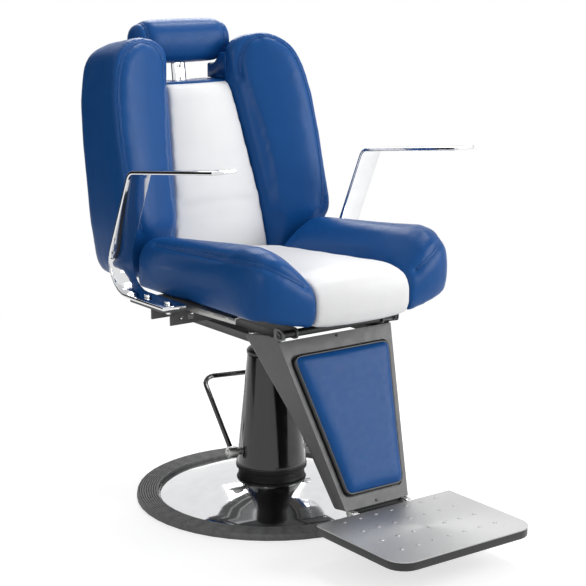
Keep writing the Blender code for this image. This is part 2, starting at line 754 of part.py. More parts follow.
def make_seat():
    """Board, dished centre and two raised bolsters."""
    outline = filleted([(-BOARD_HALF, BOARD_FRONT_Y, 0.03), (BOARD_HALF, BOARD_FRONT_Y, 0.03),
                        (BOARD_HALF, BOARD_REAR_Y, 0.02), (-BOARD_HALF, BOARD_REAR_Y, 0.02)])
    flat("seat_board", [outline], BOARD_T, PLYWOOD, SEAT,
         Matrix.Translation((0, 0, board_foot + BOARD_T / 2)))

    seam_z = board_top + SEAM_RISE
    front_skirt = board_top - FRONT_SKIRT
    side_skirt = board_top - SEAT_SKIRT
    rings = []
    half = SEAT_SEAM - CLEAR
    for share in (-1, -0.72, -0.36, 0, 0.36, 0.72, 1):
        swell = 1 - share * share
        rings.append(seat_ring(half * share, seam_z + CENTER_CROWN * swell, SEAT_FRONT_Y - 0.012 * swell,
                               front_skirt - 0.002 * swell, CENTER_REAR_Y, True, 0.028))
    lofted("seat_center", [rings], WHITE_VINYL, SEAT)

    crest = board_top + BOLSTER_RISE
    edge = BOARD_HALF + CLEAR
    width = seat_half - edge
    inside = edge - SEAT_SEAM
    for name, side in (("left", 1), ("right", -1)):
        rings = []
        for share in (0, 0.18, 0.45, 0.72, 1):
            lift = math.sin(share * math.pi / 2 * 1.18)
            rings.append(seat_ring(side * (SEAT_SEAM + inside * share), mix(seam_z, crest, lift),
                                   SEAT_FRONT_Y + 0.017 * share ** 3, mix(front_skirt, side_skirt, share),
                                   SEAT_REAR_Y, True, 0.036))
        for share, drop, back, tuck in ((0.02, 0.004, 0.018, 0.0), (0.55, 0.013, 0.032, 0.002),
                                        (0.85, 0.034, 0.050, 0.010), (1.0, 0.062, 0.078, 0.026)):
            rings.append(seat_ring(side * (edge + width * share), crest - drop, SEAT_FRONT_Y + back,
                                   side_skirt + tuck, SEAT_REAR_Y - tuck * 0.7, False, 0.036))
        lofted("seat_bolster_" + name, [rings], BLUE_VINYL, SEAT)


# Back

def lean_y(z):
    """Front plane of the back at a height."""
    return LEAN_Y + (z - LEAN_Z) * math.tan(LEAN)


def board_y(z):
    """Front face of the back board at a height."""
    return BACK_BOARD_Y + (z - BACK_BOARD_Z) * math.tan(BACK_BOARD_LEAN)


def panel_half(z):
    """Half width of the panel between the wings."""
    return PANEL_SEAM_FOOT - (z - PANEL_FOOT_Z) * PANEL_TAPER


def face_y(x, z):
    """Depth of a wing's front, which is turned inwards."""
    return lean_y(z) + (FACE_X - x) * FACE_TURN


def panel_seam_y(z):
    """Depth of the seam between a wing and the panel."""
    rises = [row[0] for row in WING_ROWS]
    above = min(bisect.bisect(rises, z - BACK_FOOT_Z), len(rises) - 1)
    low, high = WING_ROWS[above - 1], WING_ROWS[above]
    set_back = mix(low[3], high[3], (z - BACK_FOOT_Z - low[0]) / (high[0] - low[0]))
    return face_y(panel_half(z) + STRIP_W, z) + set_back * FOOT_SHARE + STRIP_DEPTH


# Rings of a wing, from its foot up: height above the foot, half width outside, inner edge opened out
# from the panel's line, outer edge set back from the turned front, fall to the rear, rear set in,
# pocket for the headrest sunk into the inner wall
WING_ROWS = (
    (0.000, 0.2550, 0.000, 0.115, 0.00, 0.014, 0.000),
    (0.007, 0.2720, 0.000, 0.088, 0.00, 0.004, 0.000),
    (0.032, 0.2830, 0.000, 0.062, 0.00, 0.000, 0.000),
    (0.070, 0.2865, 0.000, 0.045, 0.00, 0.000, 0.000),
    (0.099, 0.2885, 0.000, 0.030, 0.00, 0.000, 0.000),
    (0.112, 0.2895, 0.000, 0.017, 0.00, 0.000, 0.000),
    (0.126, 0.2900, 0.000, 0.005, 0.00, 0.000, 0.000),
    (0.152, 0.2905, 0.000, 0.000, 0.00, 0.000, 0.000),
    (0.307, 0.2905, 0.000, 0.000, 0.00, 0.000, 0.000),
    (0.397, 0.2870, 0.000, 0.000, 0.00, 0.000, 0.000),
    (0.442, 0.2805, 0.000, 0.000, 0.00, 0.000, 0.000),
    (0.468, 0.2755, 0.000, 0.000, 0.01, 0.000, 0.000),
    (0.476, 0.2735, 0.000, 0.000, 0.02, 0.000, 0.056),
    (0.490, 0.2685, 0.000, 0.000, 0.03, 0.001, 0.060),
    (0.509, 0.2610, 0.001, 0.000, 0.06, 0.003, 0.064),
    (0.524, 0.2510, 0.006, 0.000, 0.08, 0.008, 0.068),
    (0.539, 0.2350, 0.022, 0.000, 0.11, 0.014, 0.076),
    (0.551, 0.2130, 0.048, 0.000, 0.14, 0.030, 0.092),
    (0.5575, 0.1910, 0.082, 0.000, 0.16, 0.052, 0.108))


def wing_ring(row, side):
    """One outline of a wing, level but for its fall to the rear."""
    rise, outer, opened, set_back, fall, rear_in, sunk = row
    z = BACK_FOOT_Z + rise
    seam = panel_half(z) + opened
    inner = seam + STRIP_W
    pocket = panel_half(z) + max(opened, sunk)
    edge = face_y(outer, z) + set_back
    ridge = face_y(inner, z) + set_back * FOOT_SHARE
    rear = board_y(z - fall * 0.14) - CLEAR - rear_in
    pocket_y = ridge + STRIP_DEPTH + POCKET_WALL
    wide = outer - pocket
    face = outer - inner
    points = [
        (pocket, rear), (pocket + wide * 0.45, rear), (outer - wide * 0.14, rear),
        (outer - wide * 0.04, rear - 0.009), (outer, rear - 0.032), (outer + 0.002, mix(edge, rear, 0.5)),
        (outer, edge + 0.022), (outer - face * 0.015, edge + 0.007)]
    for share, crown in ((0.07, 0.25), (0.25, 0.75), (0.5, 1.0), (0.75, 0.75), (0.93, 0.25)):
        points.append((outer - face * share, mix(edge, ridge, share) - FACE_CROWN * crown))
    points += [
        (inner - STRIP_W * 0.25, ridge + STRIP_DEPTH * 0.22), (seam, ridge + STRIP_DEPTH),
        (mix(seam, pocket, 0.1), pocket_y), (pocket, pocket_y + 0.010)]
    ring = []
    for x, y in points:
        front = mix(edge, ridge, min(1, (outer - x) / face))
        ring.append(Vector((side * x, y, z - fall * max(0, y - front))))
    return ring


def make_back():
    """Board, side wings, panel, hinge plate and ears."""
    board = frame_of((0, board_y(0), 0), (1, 0, 0), (0, math.sin(BACK_BOARD_LEAN), math.cos(BACK_BOARD_LEAN)))
    slope = math.cos(BACK_BOARD_LEAN)
    hinge_top = BACK_FOOT_Z - 0.008
    foot = (hinge_top + CLEAR + BACK_BOARD_T * math.sin(BACK_BOARD_LEAN)) / slope
    notch = (notch_z - 0.004) / slope
    crown = (BACK_FOOT_Z + BACK_BOARD_RISE) / slope
    waist = panel_half(notch_z)
    half = ((BACK_BOARD_FOOT_HALF, foot, 0.03), (BACK_BOARD_HALF - 0.010, foot + 0.06, 0.05),
            (BACK_BOARD_HALF, foot + BACK_BOARD_WAIST, 0.2), (BACK_BOARD_HALF - 0.014, crown - 0.05, 0.06),
            (BACK_BOARD_TOP_HALF, crown, 0.03), (waist + NOTCH_FLARE, crown, 0.02), (waist, notch, 0.012))
    outline = filleted(list(half) + [(-x, v, r) for x, v, r in half[::-1]], 3)
    flat("back_board", [outline], BACK_BOARD_T, BLUE_VINYL, BACK,
         board @ Matrix.Translation((0, 0, -BACK_BOARD_T / 2)))

    for name, side in (("left", 1), ("right", -1)):
        lofted("back_wing_" + name, [[wing_ring(row, side) for row in WING_ROWS]], BLUE_VINYL, BACK)

    rings = []
    crown_rise = notch_z - BACK_FOOT_Z
    for share, shrink in ((0.0, 0.020), (0.02, 0.006), (0.08, 0.0), (0.2, 0.0), (0.4, 0.0), (0.6, 0.0),
                          (0.8, 0.0), (0.94, 0.002), (0.985, 0.008), (1.0, 0.022)):
        z = BACK_FOOT_Z + 0.004 + (crown_rise - 0.004) * share
        edge = panel_half(z) - CLEAR - shrink * 0.4
        seam_y = panel_seam_y(z) + shrink
        rear = board_y(z) - CLEAR
        crest = PANEL_CROWN if shrink < 0.01 else 0.004
        points = [(-edge, rear), (edge, rear), (edge, mix(rear, seam_y, 0.5)), (edge, seam_y)]
        for across in (0.75, 0.4, 0, -0.4, -0.75):
            points.append((edge * across, seam_y - crest * (1 - across * across)))
        points += [(-edge, seam_y), (-edge, mix(rear, seam_y, 0.5))]
        rings.append([Vector((x, y, z)) for x, y in points])
    panel = lofted("back_panel", [rings], WHITE_VINYL, BACK)
    depth = BAR_T + 2 * RUN + 2 * SLEEVE_WALL
    wide = BAR_W / 2 + RUN + SLEEVE_WALL
    sleeve_top = notch - 0.004
    sleeve_foot = sleeve_top - SLEEVE_LENGTH
    combine(panel, box("sleeve_groove", (-wide - CLEAR, sleeve_foot - CLEAR, -0.02),
                       (wide + CLEAR, sleeve_top + 0.05, CLEAR + depth + CLEAR), None, None, board))

    sleeve = box("headrest_sleeve", (-wide, sleeve_foot, CLEAR), (wide, sleeve_top, CLEAR + depth),
                 STEEL, BACK, board)
    slot = BAR_W / 2 + RUN
    combine(sleeve, box("sleeve_slot", (-slot, sleeve_foot - 0.01, CLEAR + SLEEVE_WALL),
                        (slot, sleeve_top + 0.01, CLEAR + depth - SLEEVE_WALL), None, None, board))
    make_headrest(board, sleeve_top, CLEAR + depth / 2)

    plate_foot = hinge_top - HINGE_PLATE_T
    near, far = HINGE_PLATE_Y
    outline = filleted([(-HINGE_PLATE_X, near, 0.008), (HINGE_PLATE_X, near, 0.008),
                        (HINGE_PLATE_X, far, 0.008), (-HINGE_PLATE_X, far, 0.008)], 3)
    flat("back_hinge_plate", [outline], HINGE_PLATE_T, GREY_PAINT, BACK,
         Matrix.Translation((0, 0, plate_foot + HINGE_PLATE_T / 2)))

    ear_top = plate_foot - CLEAR
    y, z = back_pivot.y, back_pivot.z
    pin_y, pin_z = y + crank.y, z + crank.z
    ear = filleted([
        (y - 0.020, z - 0.020, 0.016), (pin_y - 0.014, pin_z - 0.013, 0.011),
        (pin_y + 0.014, pin_z - 0.013, 0.011), (y + 0.045, z, 0.02), (far - 0.004, ear_top - 0.008, 0.004),
        (far - 0.004, ear_top, 0), (near + 0.004, ear_top, 0), (y + 0.012, z + 0.021, 0.01),
        (y - 0.020, z + 0.021, 0.016)], 3)
    pivot_hole = hole((y, z), PIVOT_PIN_R + RUN)
    crank_hole = hole((pin_y, pin_z), LINK_PIN_R + CLEAR)
    for name, side in (("left", 1), ("right", -1)):
        flat("back_ear_" + name, [ear, pivot_hole, crank_hole], EAR_T, GREY_PAINT, BACK,
             side_frame(side * (EAR_X + EAR_T / 2)))


def make_headrest(board, sleeve_top, depth):
    """Flat bar in its sleeve, and the roll on top."""
    roll_foot = sleeve_top + ROLL_GAP
    bar_top = roll_foot + BAR_IN_ROLL
    bar = box("headrest_bar", (-BAR_W / 2, sleeve_top - BAR_INSERT, depth - BAR_T / 2),
              (BAR_W / 2, bar_top, depth + BAR_T / 2), CHROME, HEAD, board)
    through = board.col[2].to_3d()
    for place, drop in (("high", 0.008), ("low", 0.038)):
        drill(bar, "bar_hole_" + place, board @ Vector((0, roll_foot - drop, depth)), through, 2 * BAR_T,
              BAR_HOLE_R, 12)

    rings = []
    for share in (-1, -0.975, -0.9, -0.76, -0.4, 0, 0.4, 0.76, 0.9, 0.975, 1):
        end = abs(share)
        size = 1 + 0.02 * (1 - end)
        if end > 0.75:
            size = math.sqrt(max(0.0, 1 - ((end - 0.75) / 0.27) ** 2))
        outline = []
        for k in range(16):
            angle = 2 * math.pi * k / 16
            c, s = math.cos(angle), math.sin(angle)
            swell = (abs(c) ** 2.5 + abs(s) ** 2.5) ** (-1 / 2.5)
            high = roll_foot + ROLL_HEIGHT / 2 * (1 + s * swell * size)
            forward = ROLL_FORWARD + ROLL_DEPTH / 2 * c * swell * size
            outline.append(Vector((share * ROLL_HALF, high, depth + forward)))
        rings.append(outline)
    roll = lofted("headrest_roll", [rings], BLUE_VINYL, HEAD, board)
    combine(roll, box("roll_slot", (-BAR_W / 2 - CLEAR, roll_foot - 0.02, depth - BAR_T / 2 - CLEAR),
                      (BAR_W / 2 + CLEAR, bar_top + CLEAR, depth + BAR_T / 2 + CLEAR), None, None, board))


# Recline link

def make_links():
    """Parallel links from the back's ears to the legrest, with their pins."""
    rear = back_pivot + crank
    front = legrest_pivot + crank
    bore = LINK_PIN_R + RUN
    half = LINK_W / 2
    turn = half * 0.98
    outline = filleted([(front.y - half, front.z - half, turn), (rear.y + half, rear.z - half, turn),
                        (rear.y + half, rear.z + half, turn), (front.y - half, front.z + half, turn)], 5)
    holes = [hole((pin.y, pin.z), bore) for pin in (rear, front)]
    for name, side in (("left", 1), ("right", -1)):
        flat("recline_link_" + name, [outline] + holes, LINK_T, STEEL, LINK,
             side_frame(side * (LINK_X + LINK_T / 2)))
    cross_rod("crank_rod_rear", rear, LINK_PIN_R, LINK_X + LINK_T + RUN, 0.008, 0.003, STEEL, BACK)


# Legrest and footrest

leg_run = LEG_FOOT - LEG_TOP
leg_length = math.hypot(leg_run.y, leg_run.z)
leg_up = Vector((0, -leg_run.y, -leg_run.z)).normalized()
leg_tilt = math.atan2(LEG_TOP.x - LEG_FOOT.x, LEG_TOP.z - LEG_FOOT.z)
leg_plate = frame_of((0, LEG_FOOT.y, LEG_FOOT.z), (1, 0, 0), leg_up)


def leg_front_y(z):
    """Front of the legrest at a height."""
    return LEG_FOOT.y + (z - LEG_FOOT.z) * leg_run.y / leg_run.z


def leg_half(z):
    """Outside half width of the legrest at a height."""
    return LEG_FOOT.x + (z - LEG_FOOT.z) * math.tan(leg_tilt)


def leg_window(inset):
    """Rounded window in the front plate, drawn in by an inset."""
    low = WINDOW_FOOT + inset
    high = leg_length - WINDOW_TOP - inset
    taper = (LEG_TOP.x - LEG_FOOT.x) / leg_length
    narrow = LEG_FOOT.x + low * taper - WINDOW_SIDE - inset
    wide = LEG_FOOT.x + high * taper - WINDOW_SIDE - inset
    radius = max(WINDOW_R - inset * 0.4, 0.004)
    return filleted([(-narrow, low, radius), (narrow, low, radius),
                     (wide, high, radius), (-wide, high, radius)], 4)


def make_legrest():
    """Side plates, windowed front plate, pad, hinge tube and link pins."""
    outline = [(-LEG_FOOT.x, 0), (LEG_FOOT.x, 0), (LEG_TOP.x, leg_length), (-LEG_TOP.x, leg_length)]
    flat("legrest_front_plate", [outline, leg_window(0)], LEG_SHEET, GREY_PAINT, LEG,
         leg_plate @ Matrix.Translation((0, 0, -LEG_SHEET / 2)))
    board_front = -LEG_SHEET - CLEAR
    flat("legrest_pad_board", [leg_window(-PAD_BOARD_LAP)], PAD_BOARD_T, BLACK_PAINT, LEG,
         leg_plate @ Matrix.Translation((0, 0, board_front - PAD_BOARD_T / 2)))
    rings = []
    for inset, height in ((PAD_GAP + 0.002, board_front + CLEAR), (PAD_GAP, 0.0), (PAD_GAP, PAD_PROUD * 0.35),
                          (PAD_GAP + 0.003, PAD_PROUD * 0.70), (PAD_GAP + 0.012, PAD_PROUD * 0.92),
                          (PAD_GAP + 0.034, PAD_PROUD)):
        rings.append([Vector((x, v, height)) for x, v in leg_window(inset)])
    lofted("legrest_pad", [rings], BLUE_VINYL, LEG, leg_plate)

    behind = LEG_SHEET / leg_up.z + CLEAR * 2
    y, z = legrest_pivot.y, legrest_pivot.z
    low = LEG_FOOT.z
    high = LEG_TOP.z
    knee = low + LEG_KNEE_RISE
    side_outline = filleted([
        (leg_front_y(low) + behind, low, 0), (leg_front_y(low) + LEG_FOOT_DEPTH, low - 0.006, 0.008),
        (leg_front_y(knee) + LEG_KNEE_DEPTH, knee, LEG_KNEE_R),
        (leg_front_y(high - 0.006) + LEG_TOP_DEPTH, high - 0.006, 0.006), (y + 0.045, high + 0.008, 0.006),
        (y + 0.024, high + 0.007, 0.006),
        (y + LEG_EAR_R, z + LEG_EAR_R, LEG_EAR_R * 0.95), (y - LEG_EAR_R, z + LEG_EAR_R, LEG_EAR_R * 0.95),
        (y - LEG_EAR_R, high + 0.010, 0.004), (leg_front_y(high + 0.002) + behind, high + 0.002, 0)], 4)
    stretch = 1 / math.cos(leg_tilt)
    local = [(yy, (zz - low) * stretch) for yy, zz in side_outline]
    for name, side in (("left", 1), ("right", -1)):
        up = (side * math.sin(leg_tilt), 0, math.cos(leg_tilt))
        inward = Vector((-side * math.cos(leg_tilt), 0, math.sin(leg_tilt))) * (LEG_SHEET / 2)
        origin = Vector((side * LEG_FOOT.x, 0, low)) + inward
        flat("legrest_side_" + name, [local], LEG_SHEET, GREY_PAINT, LEG, frame_of(origin, (0, 1, 0), up))

    wall = LEG_SHEET / math.cos(leg_tilt)
    tube_half = leg_half(z - HINGE_TUBE_R) - wall - CLEAR
    lofted("legrest_hinge_tube", [stepped(legrest_pivot, (1, 0, 0), (
        (-tube_half, HINGE_TUBE_R), (tube_half, HINGE_TUBE_R)), 20)], BLACK_PAINT, LEG)

    pin = legrest_pivot + crank
    pin_half = leg_half(pin.z - LINK_PIN_R) - wall - CLEAR
    head = LINK_X + LINK_T + RUN
    cross_rod("crank_rod_front", pin, LINK_PIN_R, head, 0.007, pin_half - 0.0015 - head, STEEL, LEG)


def foot_outline(inset):
    """Rounded outline of the footrest."""
    x = FOOT_HALF - inset
    front = FOOT_FRONT_Y + inset
    rear = FOOT_REAR_Y - inset
    radius = FOOT_CORNER_R - inset
    return filleted([(-x, front, radius), (x, front, radius), (x, rear, 0.006), (-x, rear, 0.006)], 6)


def make_footrest():
    """Bumped plate on its tray, with hinge knuckles, lugs and rod."""
    sheet_foot = FOOT_TOP_Z - FOOT_SHEET
    plate = flat("footrest_plate", [foot_outline(0)], FOOT_SHEET, STAINLESS, FOOT,
                 Matrix.Translation((0, 0, sheet_foot + FOOT_SHEET / 2)))
    bumps = []
    for row in range(BUMP_ROWS):
        for column in range(BUMP_COLUMNS):
            x = (column - (BUMP_COLUMNS - 1) / 2) * BUMP_PITCH[0]
            centre = (x, BUMP_FIRST_Y - row * BUMP_PITCH[1], FOOT_TOP_Z)
            bumps.append(stepped(centre, (0, 0, 1), (
                (-FOOT_SHEET / 2, BUMP_R), (0, BUMP_R), (BUMP_H * 0.75, BUMP_R * 0.62),
                (BUMP_H, BUMP_R * 0.2)), 8))
    combine(plate, lofted("bump_pattern", bumps, None, None), "UNION")

    tray_top = sheet_foot - CLEAR
    tray = flat("footrest_tray", [foot_outline(0.001)], FOOT_TRAY_T, BLACK_PAINT, FOOT,
                Matrix.Translation((0, 0, tray_top - FOOT_TRAY_T / 2)))
    hollow = flat("tray_hollow", [foot_outline(0.001 + FOOT_TRAY_WALL)], FOOT_TRAY_T, None, None,
                  Matrix.Translation((0, 0, tray_top - FOOT_TRAY_T / 2 - FOOT_TRAY_WALL)))
    combine(tray, hollow)

    axis = footrest_pivot
    tray_rear = FOOT_REAR_Y - 0.001 + CLEAR
    bore = HINGE_ROD_R + RUN
    knuckle = filleted([
        (tray_rear, axis.z - KNUCKLE_R, 0), (axis.y + KNUCKLE_R, axis.z - KNUCKLE_R, KNUCKLE_R * 0.97),
        (axis.y + KNUCKLE_R, axis.z + KNUCKLE_R * 0.9, KNUCKLE_R * 0.9),
        (tray_rear, axis.z + KNUCKLE_R * 0.55, 0)], 4)
    flat("footrest_knuckle", [knuckle, hole((axis.y, axis.z), bore)], 2 * KNUCKLE_HALF, BLACK_PAINT, FOOT,
         side_frame(0))

    edge = leg_plate @ Vector((0, -CLEAR, 0))
    heel = leg_plate @ Vector((0, -CLEAR, -LEG_SHEET))
    lug = filleted([
        (axis.y - KNUCKLE_R, axis.z - KNUCKLE_R, KNUCKLE_R * 0.97), (heel.y, heel.z - LUG_DROP, 0.003),
        (heel.y, heel.z, 0), (edge.y, edge.z, 0),
        (axis.y - KNUCKLE_R, axis.z + KNUCKLE_R, KNUCKLE_R * 0.97)], 4)
    low, high = LUG_X
    for name, side in (("left", 1), ("right", -1)):
        flat("footrest_lug_" + name, [lug, hole((axis.y, axis.z), HINGE_ROD_R + CLEAR)], high - low, STEEL,
             LEG, side_frame(side * (low + high) / 2))
    end = high + 0.002
    lofted("footrest_hinge_rod", [stepped(axis, (1, 0, 0), ((-end, HINGE_ROD_R), (end, HINGE_ROD_R)), 12)],
           STEEL, LEG)


make_base()
make_pump()
make_lever()
make_frame()
make_arms()
make_seat()
make_back()
make_links()
make_legrest()
make_footrest()
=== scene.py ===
"""Looks of the barber chair: stuffed vinyl with seams and stitching, metal finishes, light and camera."""

import json
import math

import bmesh
import bpy
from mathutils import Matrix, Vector, noise
from mathutils.bvhtree import BVHTree
from mathutils.kdtree import KDTree


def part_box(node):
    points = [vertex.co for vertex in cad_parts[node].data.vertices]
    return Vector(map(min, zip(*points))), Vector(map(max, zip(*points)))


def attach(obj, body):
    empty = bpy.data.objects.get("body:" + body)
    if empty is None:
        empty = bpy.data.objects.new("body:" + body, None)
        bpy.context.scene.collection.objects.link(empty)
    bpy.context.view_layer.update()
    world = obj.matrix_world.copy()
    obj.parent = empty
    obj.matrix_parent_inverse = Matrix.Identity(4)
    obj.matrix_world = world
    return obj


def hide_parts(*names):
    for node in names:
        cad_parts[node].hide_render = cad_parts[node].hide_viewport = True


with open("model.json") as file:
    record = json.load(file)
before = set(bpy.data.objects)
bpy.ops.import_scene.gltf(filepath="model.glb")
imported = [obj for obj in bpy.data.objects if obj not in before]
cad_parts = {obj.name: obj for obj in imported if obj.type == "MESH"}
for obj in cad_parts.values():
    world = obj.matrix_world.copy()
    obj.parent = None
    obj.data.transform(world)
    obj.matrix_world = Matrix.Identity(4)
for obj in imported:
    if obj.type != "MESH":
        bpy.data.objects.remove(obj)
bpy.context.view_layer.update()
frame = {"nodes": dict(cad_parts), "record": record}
nodes = frame["nodes"]
scene = bpy.context.scene
scene.view_settings.view_transform = "Standard"
SIDES = (("left", 1), ("right", -1))

# Camera, solved from the photo: metres, the chair's own frame
CAMERA_AT = Vector((-2.1274, -2.9943, 1.3044))
CAMERA_BACK = Vector((-0.5764, -0.7877, 0.2172))
CAMERA_LENS = 99.49
SENSOR = 36.0

# Colours, linear
BLUE = (0.0060, 0.068, 0.240)
WHITE = (0.80, 0.80, 0.805)
CHROME = (0.74, 0.745, 0.755)
STAINLESS = (0.41, 0.41, 0.41)
ZINC = (0.50, 0.50, 0.49)
GREY_PAINT = (0.088, 0.088, 0.090)
BLACK_PAINT = (0.011, 0.011, 0.012)
BLACK_GLOSS = (0.005, 0.005, 0.0055)
RUBBER = (0.125, 0.125, 0.127)
PLYWOOD = (0.045, 0.038, 0.030)
FLOOR = (0.55, 0.55, 0.55)
FLAG = (0.02, 0.02, 0.02)

# Light
WORLD_LIT = 0.44           # the world as a lamp; seen directly and in gloss it is white
FLOOR_RADIUS = 14
FLOOR_DROP = 0.0005        # under the foot plate, so that no two faces lie in one plane
FLOOR_GLOW = 0.64
FLOOR_FADE = (0.5, 2.0)    # from the chair, over which the floor turns to the background's white
LAMPS = (                  # name, place, aim, size, power
    ("key", (2.9, -3.0, 1.9), (0, -0.1, 0.6), (2.6, 2.6), 120),
    ("top", (1.3, 0.3, 3.2), (0, 0, 0.6), (0.9, 0.9), 39),
    ("rim", (1.35, 2.15, 2.6), (0, 0.1, 0.7), (1.4, 1.4), 38),
    ("strip", (-2.6, -1.8, 1.75), (-0.2, 0, 0.85), (0.5, 1.3), 16),
)
FLAG_CARD = ("flag_left", (-1.35, 1.75, 1.32), (-0.25, 0.2, 1.32), (3.0, 2.2))  # name, place, aim, size

# Upholstery
VOXEL = 0.006
FINE_VOXEL = 0.005
PRESSURE = 4.0
SIM_FRAMES = 20
BENDING = 2.0
SMOOTHING = 0.5            # factor of each smoothing pass
WING_LEAN = 0.10           # lean of the plane behind which a wing is held
PANEL_HELD = 0.12          # half widths beyond which a middle cushion is held
CENTER_HELD = 0.122
REAR_HELD = 0.03
HEEL_HEIGHT = 0.04         # squared lower rear edge of a bolster
HEEL_FILL = 0.85
HEEL_CLEAR = 0.0012        # over the seat board's foot
HEEL_INSET = 0.001         # from the bolster's outer edge
HEEL_REACH = 0.045         # in from that edge, and the part of it over which the fill grows
HEEL_BLEND = 0.03
HEEL_LENGTH = 0.06         # before the column's axis, over which it grows from the front
CORNER_HEIGHT = 0.026      # panel corners that reach out to the wings
CORNER_SPREAD = 0.105
TOP_BAND = 0.004           # blue cover over the panel's upper edge
TOP_SKIN = 0.0009
LEDGE_FROM = 0.083         # shoulder of a wing under the roll
LEDGE_DEPTH = 0.0795
LEDGE_STEPS = 16
LEDGE_CLEAR = 0.0055
LEDGE_RISE = 0.024
LEDGE_ROWS = ((0.0034, 0.006), (0.0045, 0.002), (0.009, 0.0), (0.025, 0.0), (0.045, 0.0), (0.052, 0.003),
              (0.055, 0.012))

# Seams: a raised felled band between two rows of stitches
BAND_HALF = 0.0034
BAND_RISE = 0.0016
BAND_STEP = 0.004
BAND_SECTION = ((-1.0, -0.5), (-0.9, 0.35), (-0.5, 0.95), (0.0, 1.0), (0.5, 0.95), (0.9, 0.35), (1.0, -0.5),
                (0.0, -0.9))
ROLL_OFF = 0.0055          # how far a face falls towards its seam
ROLL_OFF_REACH = 0.011
ROLL_OFF_POWER = 1.4
GATHER = 0.0010            # puckers beside a seam
GATHER_PITCH = 0.016
GATHER_WIDTH = 0.05
GATHER_REACH = 0.014
GATHER_SHIFT = 0.37        # gives seams of different lengths puckers of their own
STITCH_PITCH = 0.0048
STITCH_LENGTH = 0.0037
STITCH_R = 0.00048
STITCH_SIDES = 5
STITCH_SHAPE = ((-0.5, 0.35), (-0.28, 1.0), (0.28, 1.0), (0.5, 0.35))
STITCH_ROW = 0.0024        # rows from the middle of the band
STITCH_LIFT = 0.9 * BAND_RISE
SEAM_EASE = 5              # how often a seam's points are drawn towards their neighbours
RIM_TURN = math.radians(40)  # turn of a face at which its rim lies
RIM_SPOKES = 150
RIM_STEP = 0.0025          # between two rays of a spoke
RIM_FALL = 0.012           # between two hits, where the spoke has left the face
RIM_SPAN = (0.2, 1.8)      # shares of the reach where a spoke starts and ends
RAY_OFF = 0.3              # start of a ray from the face
WING_MIDDLE = 0.06         # middle of the wing's face over the middle of its box
WING_OUTER_END = 0.03      # lower ends of the wing's seam: over the seat, over the panel
WING_INNER_END = 0.004
BOLSTER_DROP = 0.021       # seam under the bolster's top
BOLSTER_SLOPE = 0.006
BOLSTER_RUN = (0.22, 0.40, 0.60, 0.80, 0.91)
ROLL_CAP = 0.026           # end caps of the headrest roll
ROLL_SPOKES = 72

# Hardware
# The foot ring's painted groove shade is laid in rings at these radii, at the pitch of its ribs
GROOVE_FROM = 0.2702       # grooves of the foot ring: radius of its inner edge
GROOVE_PITCH = 0.0055
GROOVES = 8
PLATE_UP = Vector((0, 0.3927, 0.9196))
PLATE_OUT = Vector((0, -0.9196, 0.3927))
PLATE_FACE = 0.0012        # height of the plate's front face at its foot
PAD_MIDDLE = (0, 0.19, 0.004)  # on the plate: across, up, out
PIPING_R = 0.0042
PIPING_DEPTH = 1.3 * PIPING_R
PIPING_FROM = 0.4          # start of a ray from the pad's middle
PIPING_SIDES = 10
PIPING_SPOKES = 240
TURNED_SIDES = 28
SCREWS = (("top", 0.3785), ("foot", 0.0075))
SCREW_OUT = 0.0006
PIVOT_OUT = 0.0004
PAN_HEAD = ((-0.001, 0.0030), (0.0006, 0.0030), (0.0012, 0.0026), (0.0014, 0.0016), (0.0007, 0.0013),
            (0.0006, 0.0002))
WASHER = ((0, 0.0070), (0, 0.0112), (0.0004, 0.0116), (0.0012, 0.0116), (0.0016, 0.0112), (0.0016, 0.0070))
PIVOT_CAP = ((0.0018, 0.0060), (0.0018, 0.0086), (0.0060, 0.0086), (0.0074, 0.0078), (0.0078, 0.0060),
             (0.0070, 0.0044), (0.0068, 0.0006))
FLAP_SECTION = ((0.0034, 0.0025), (0.0031, -0.0030), (0.0029, -0.0080), (0.0038, -0.0090), (0.0050, -0.0082),
                (0.0052, -0.0030), (0.0050, 0.0032))
FLAP_STEPS = 80
FLAP_RIB = 0.0004
STRIP_FROM = -0.068
STRIP_TO = -0.235
STRIP_INSET = 0.004        # from the bolster's outer edge, and how much more at the far end
STRIP_TAPER = 0.012
STRIP_STEPS = 24
STRIP_SECTION = ((0.0, -0.003), (0.0012, -0.0048), (0.0014, -0.010), (0.0012, -0.0155), (-0.0004, -0.0160),
                 (-0.0006, -0.0045), (-0.022, -0.0020), (-0.022, -0.0006))
STRIP_FACE = 2             # the section's point that screws dimple, and the steps where they sit
STRIP_SCREWS = (4, 12, 20)
STRIP_DIMPLE = 0.0008
WELD = 0.00002
EDGE_BREAK = 0.0007        # rounding that metal edges get
ARM_BREAK = 0.0022
SHARP = math.radians(38)   # edges that are rounded
CREASE = math.radians(32)  # edges that stay crisp in the shading
PLATE_CREASE = math.radians(12)


# Materials

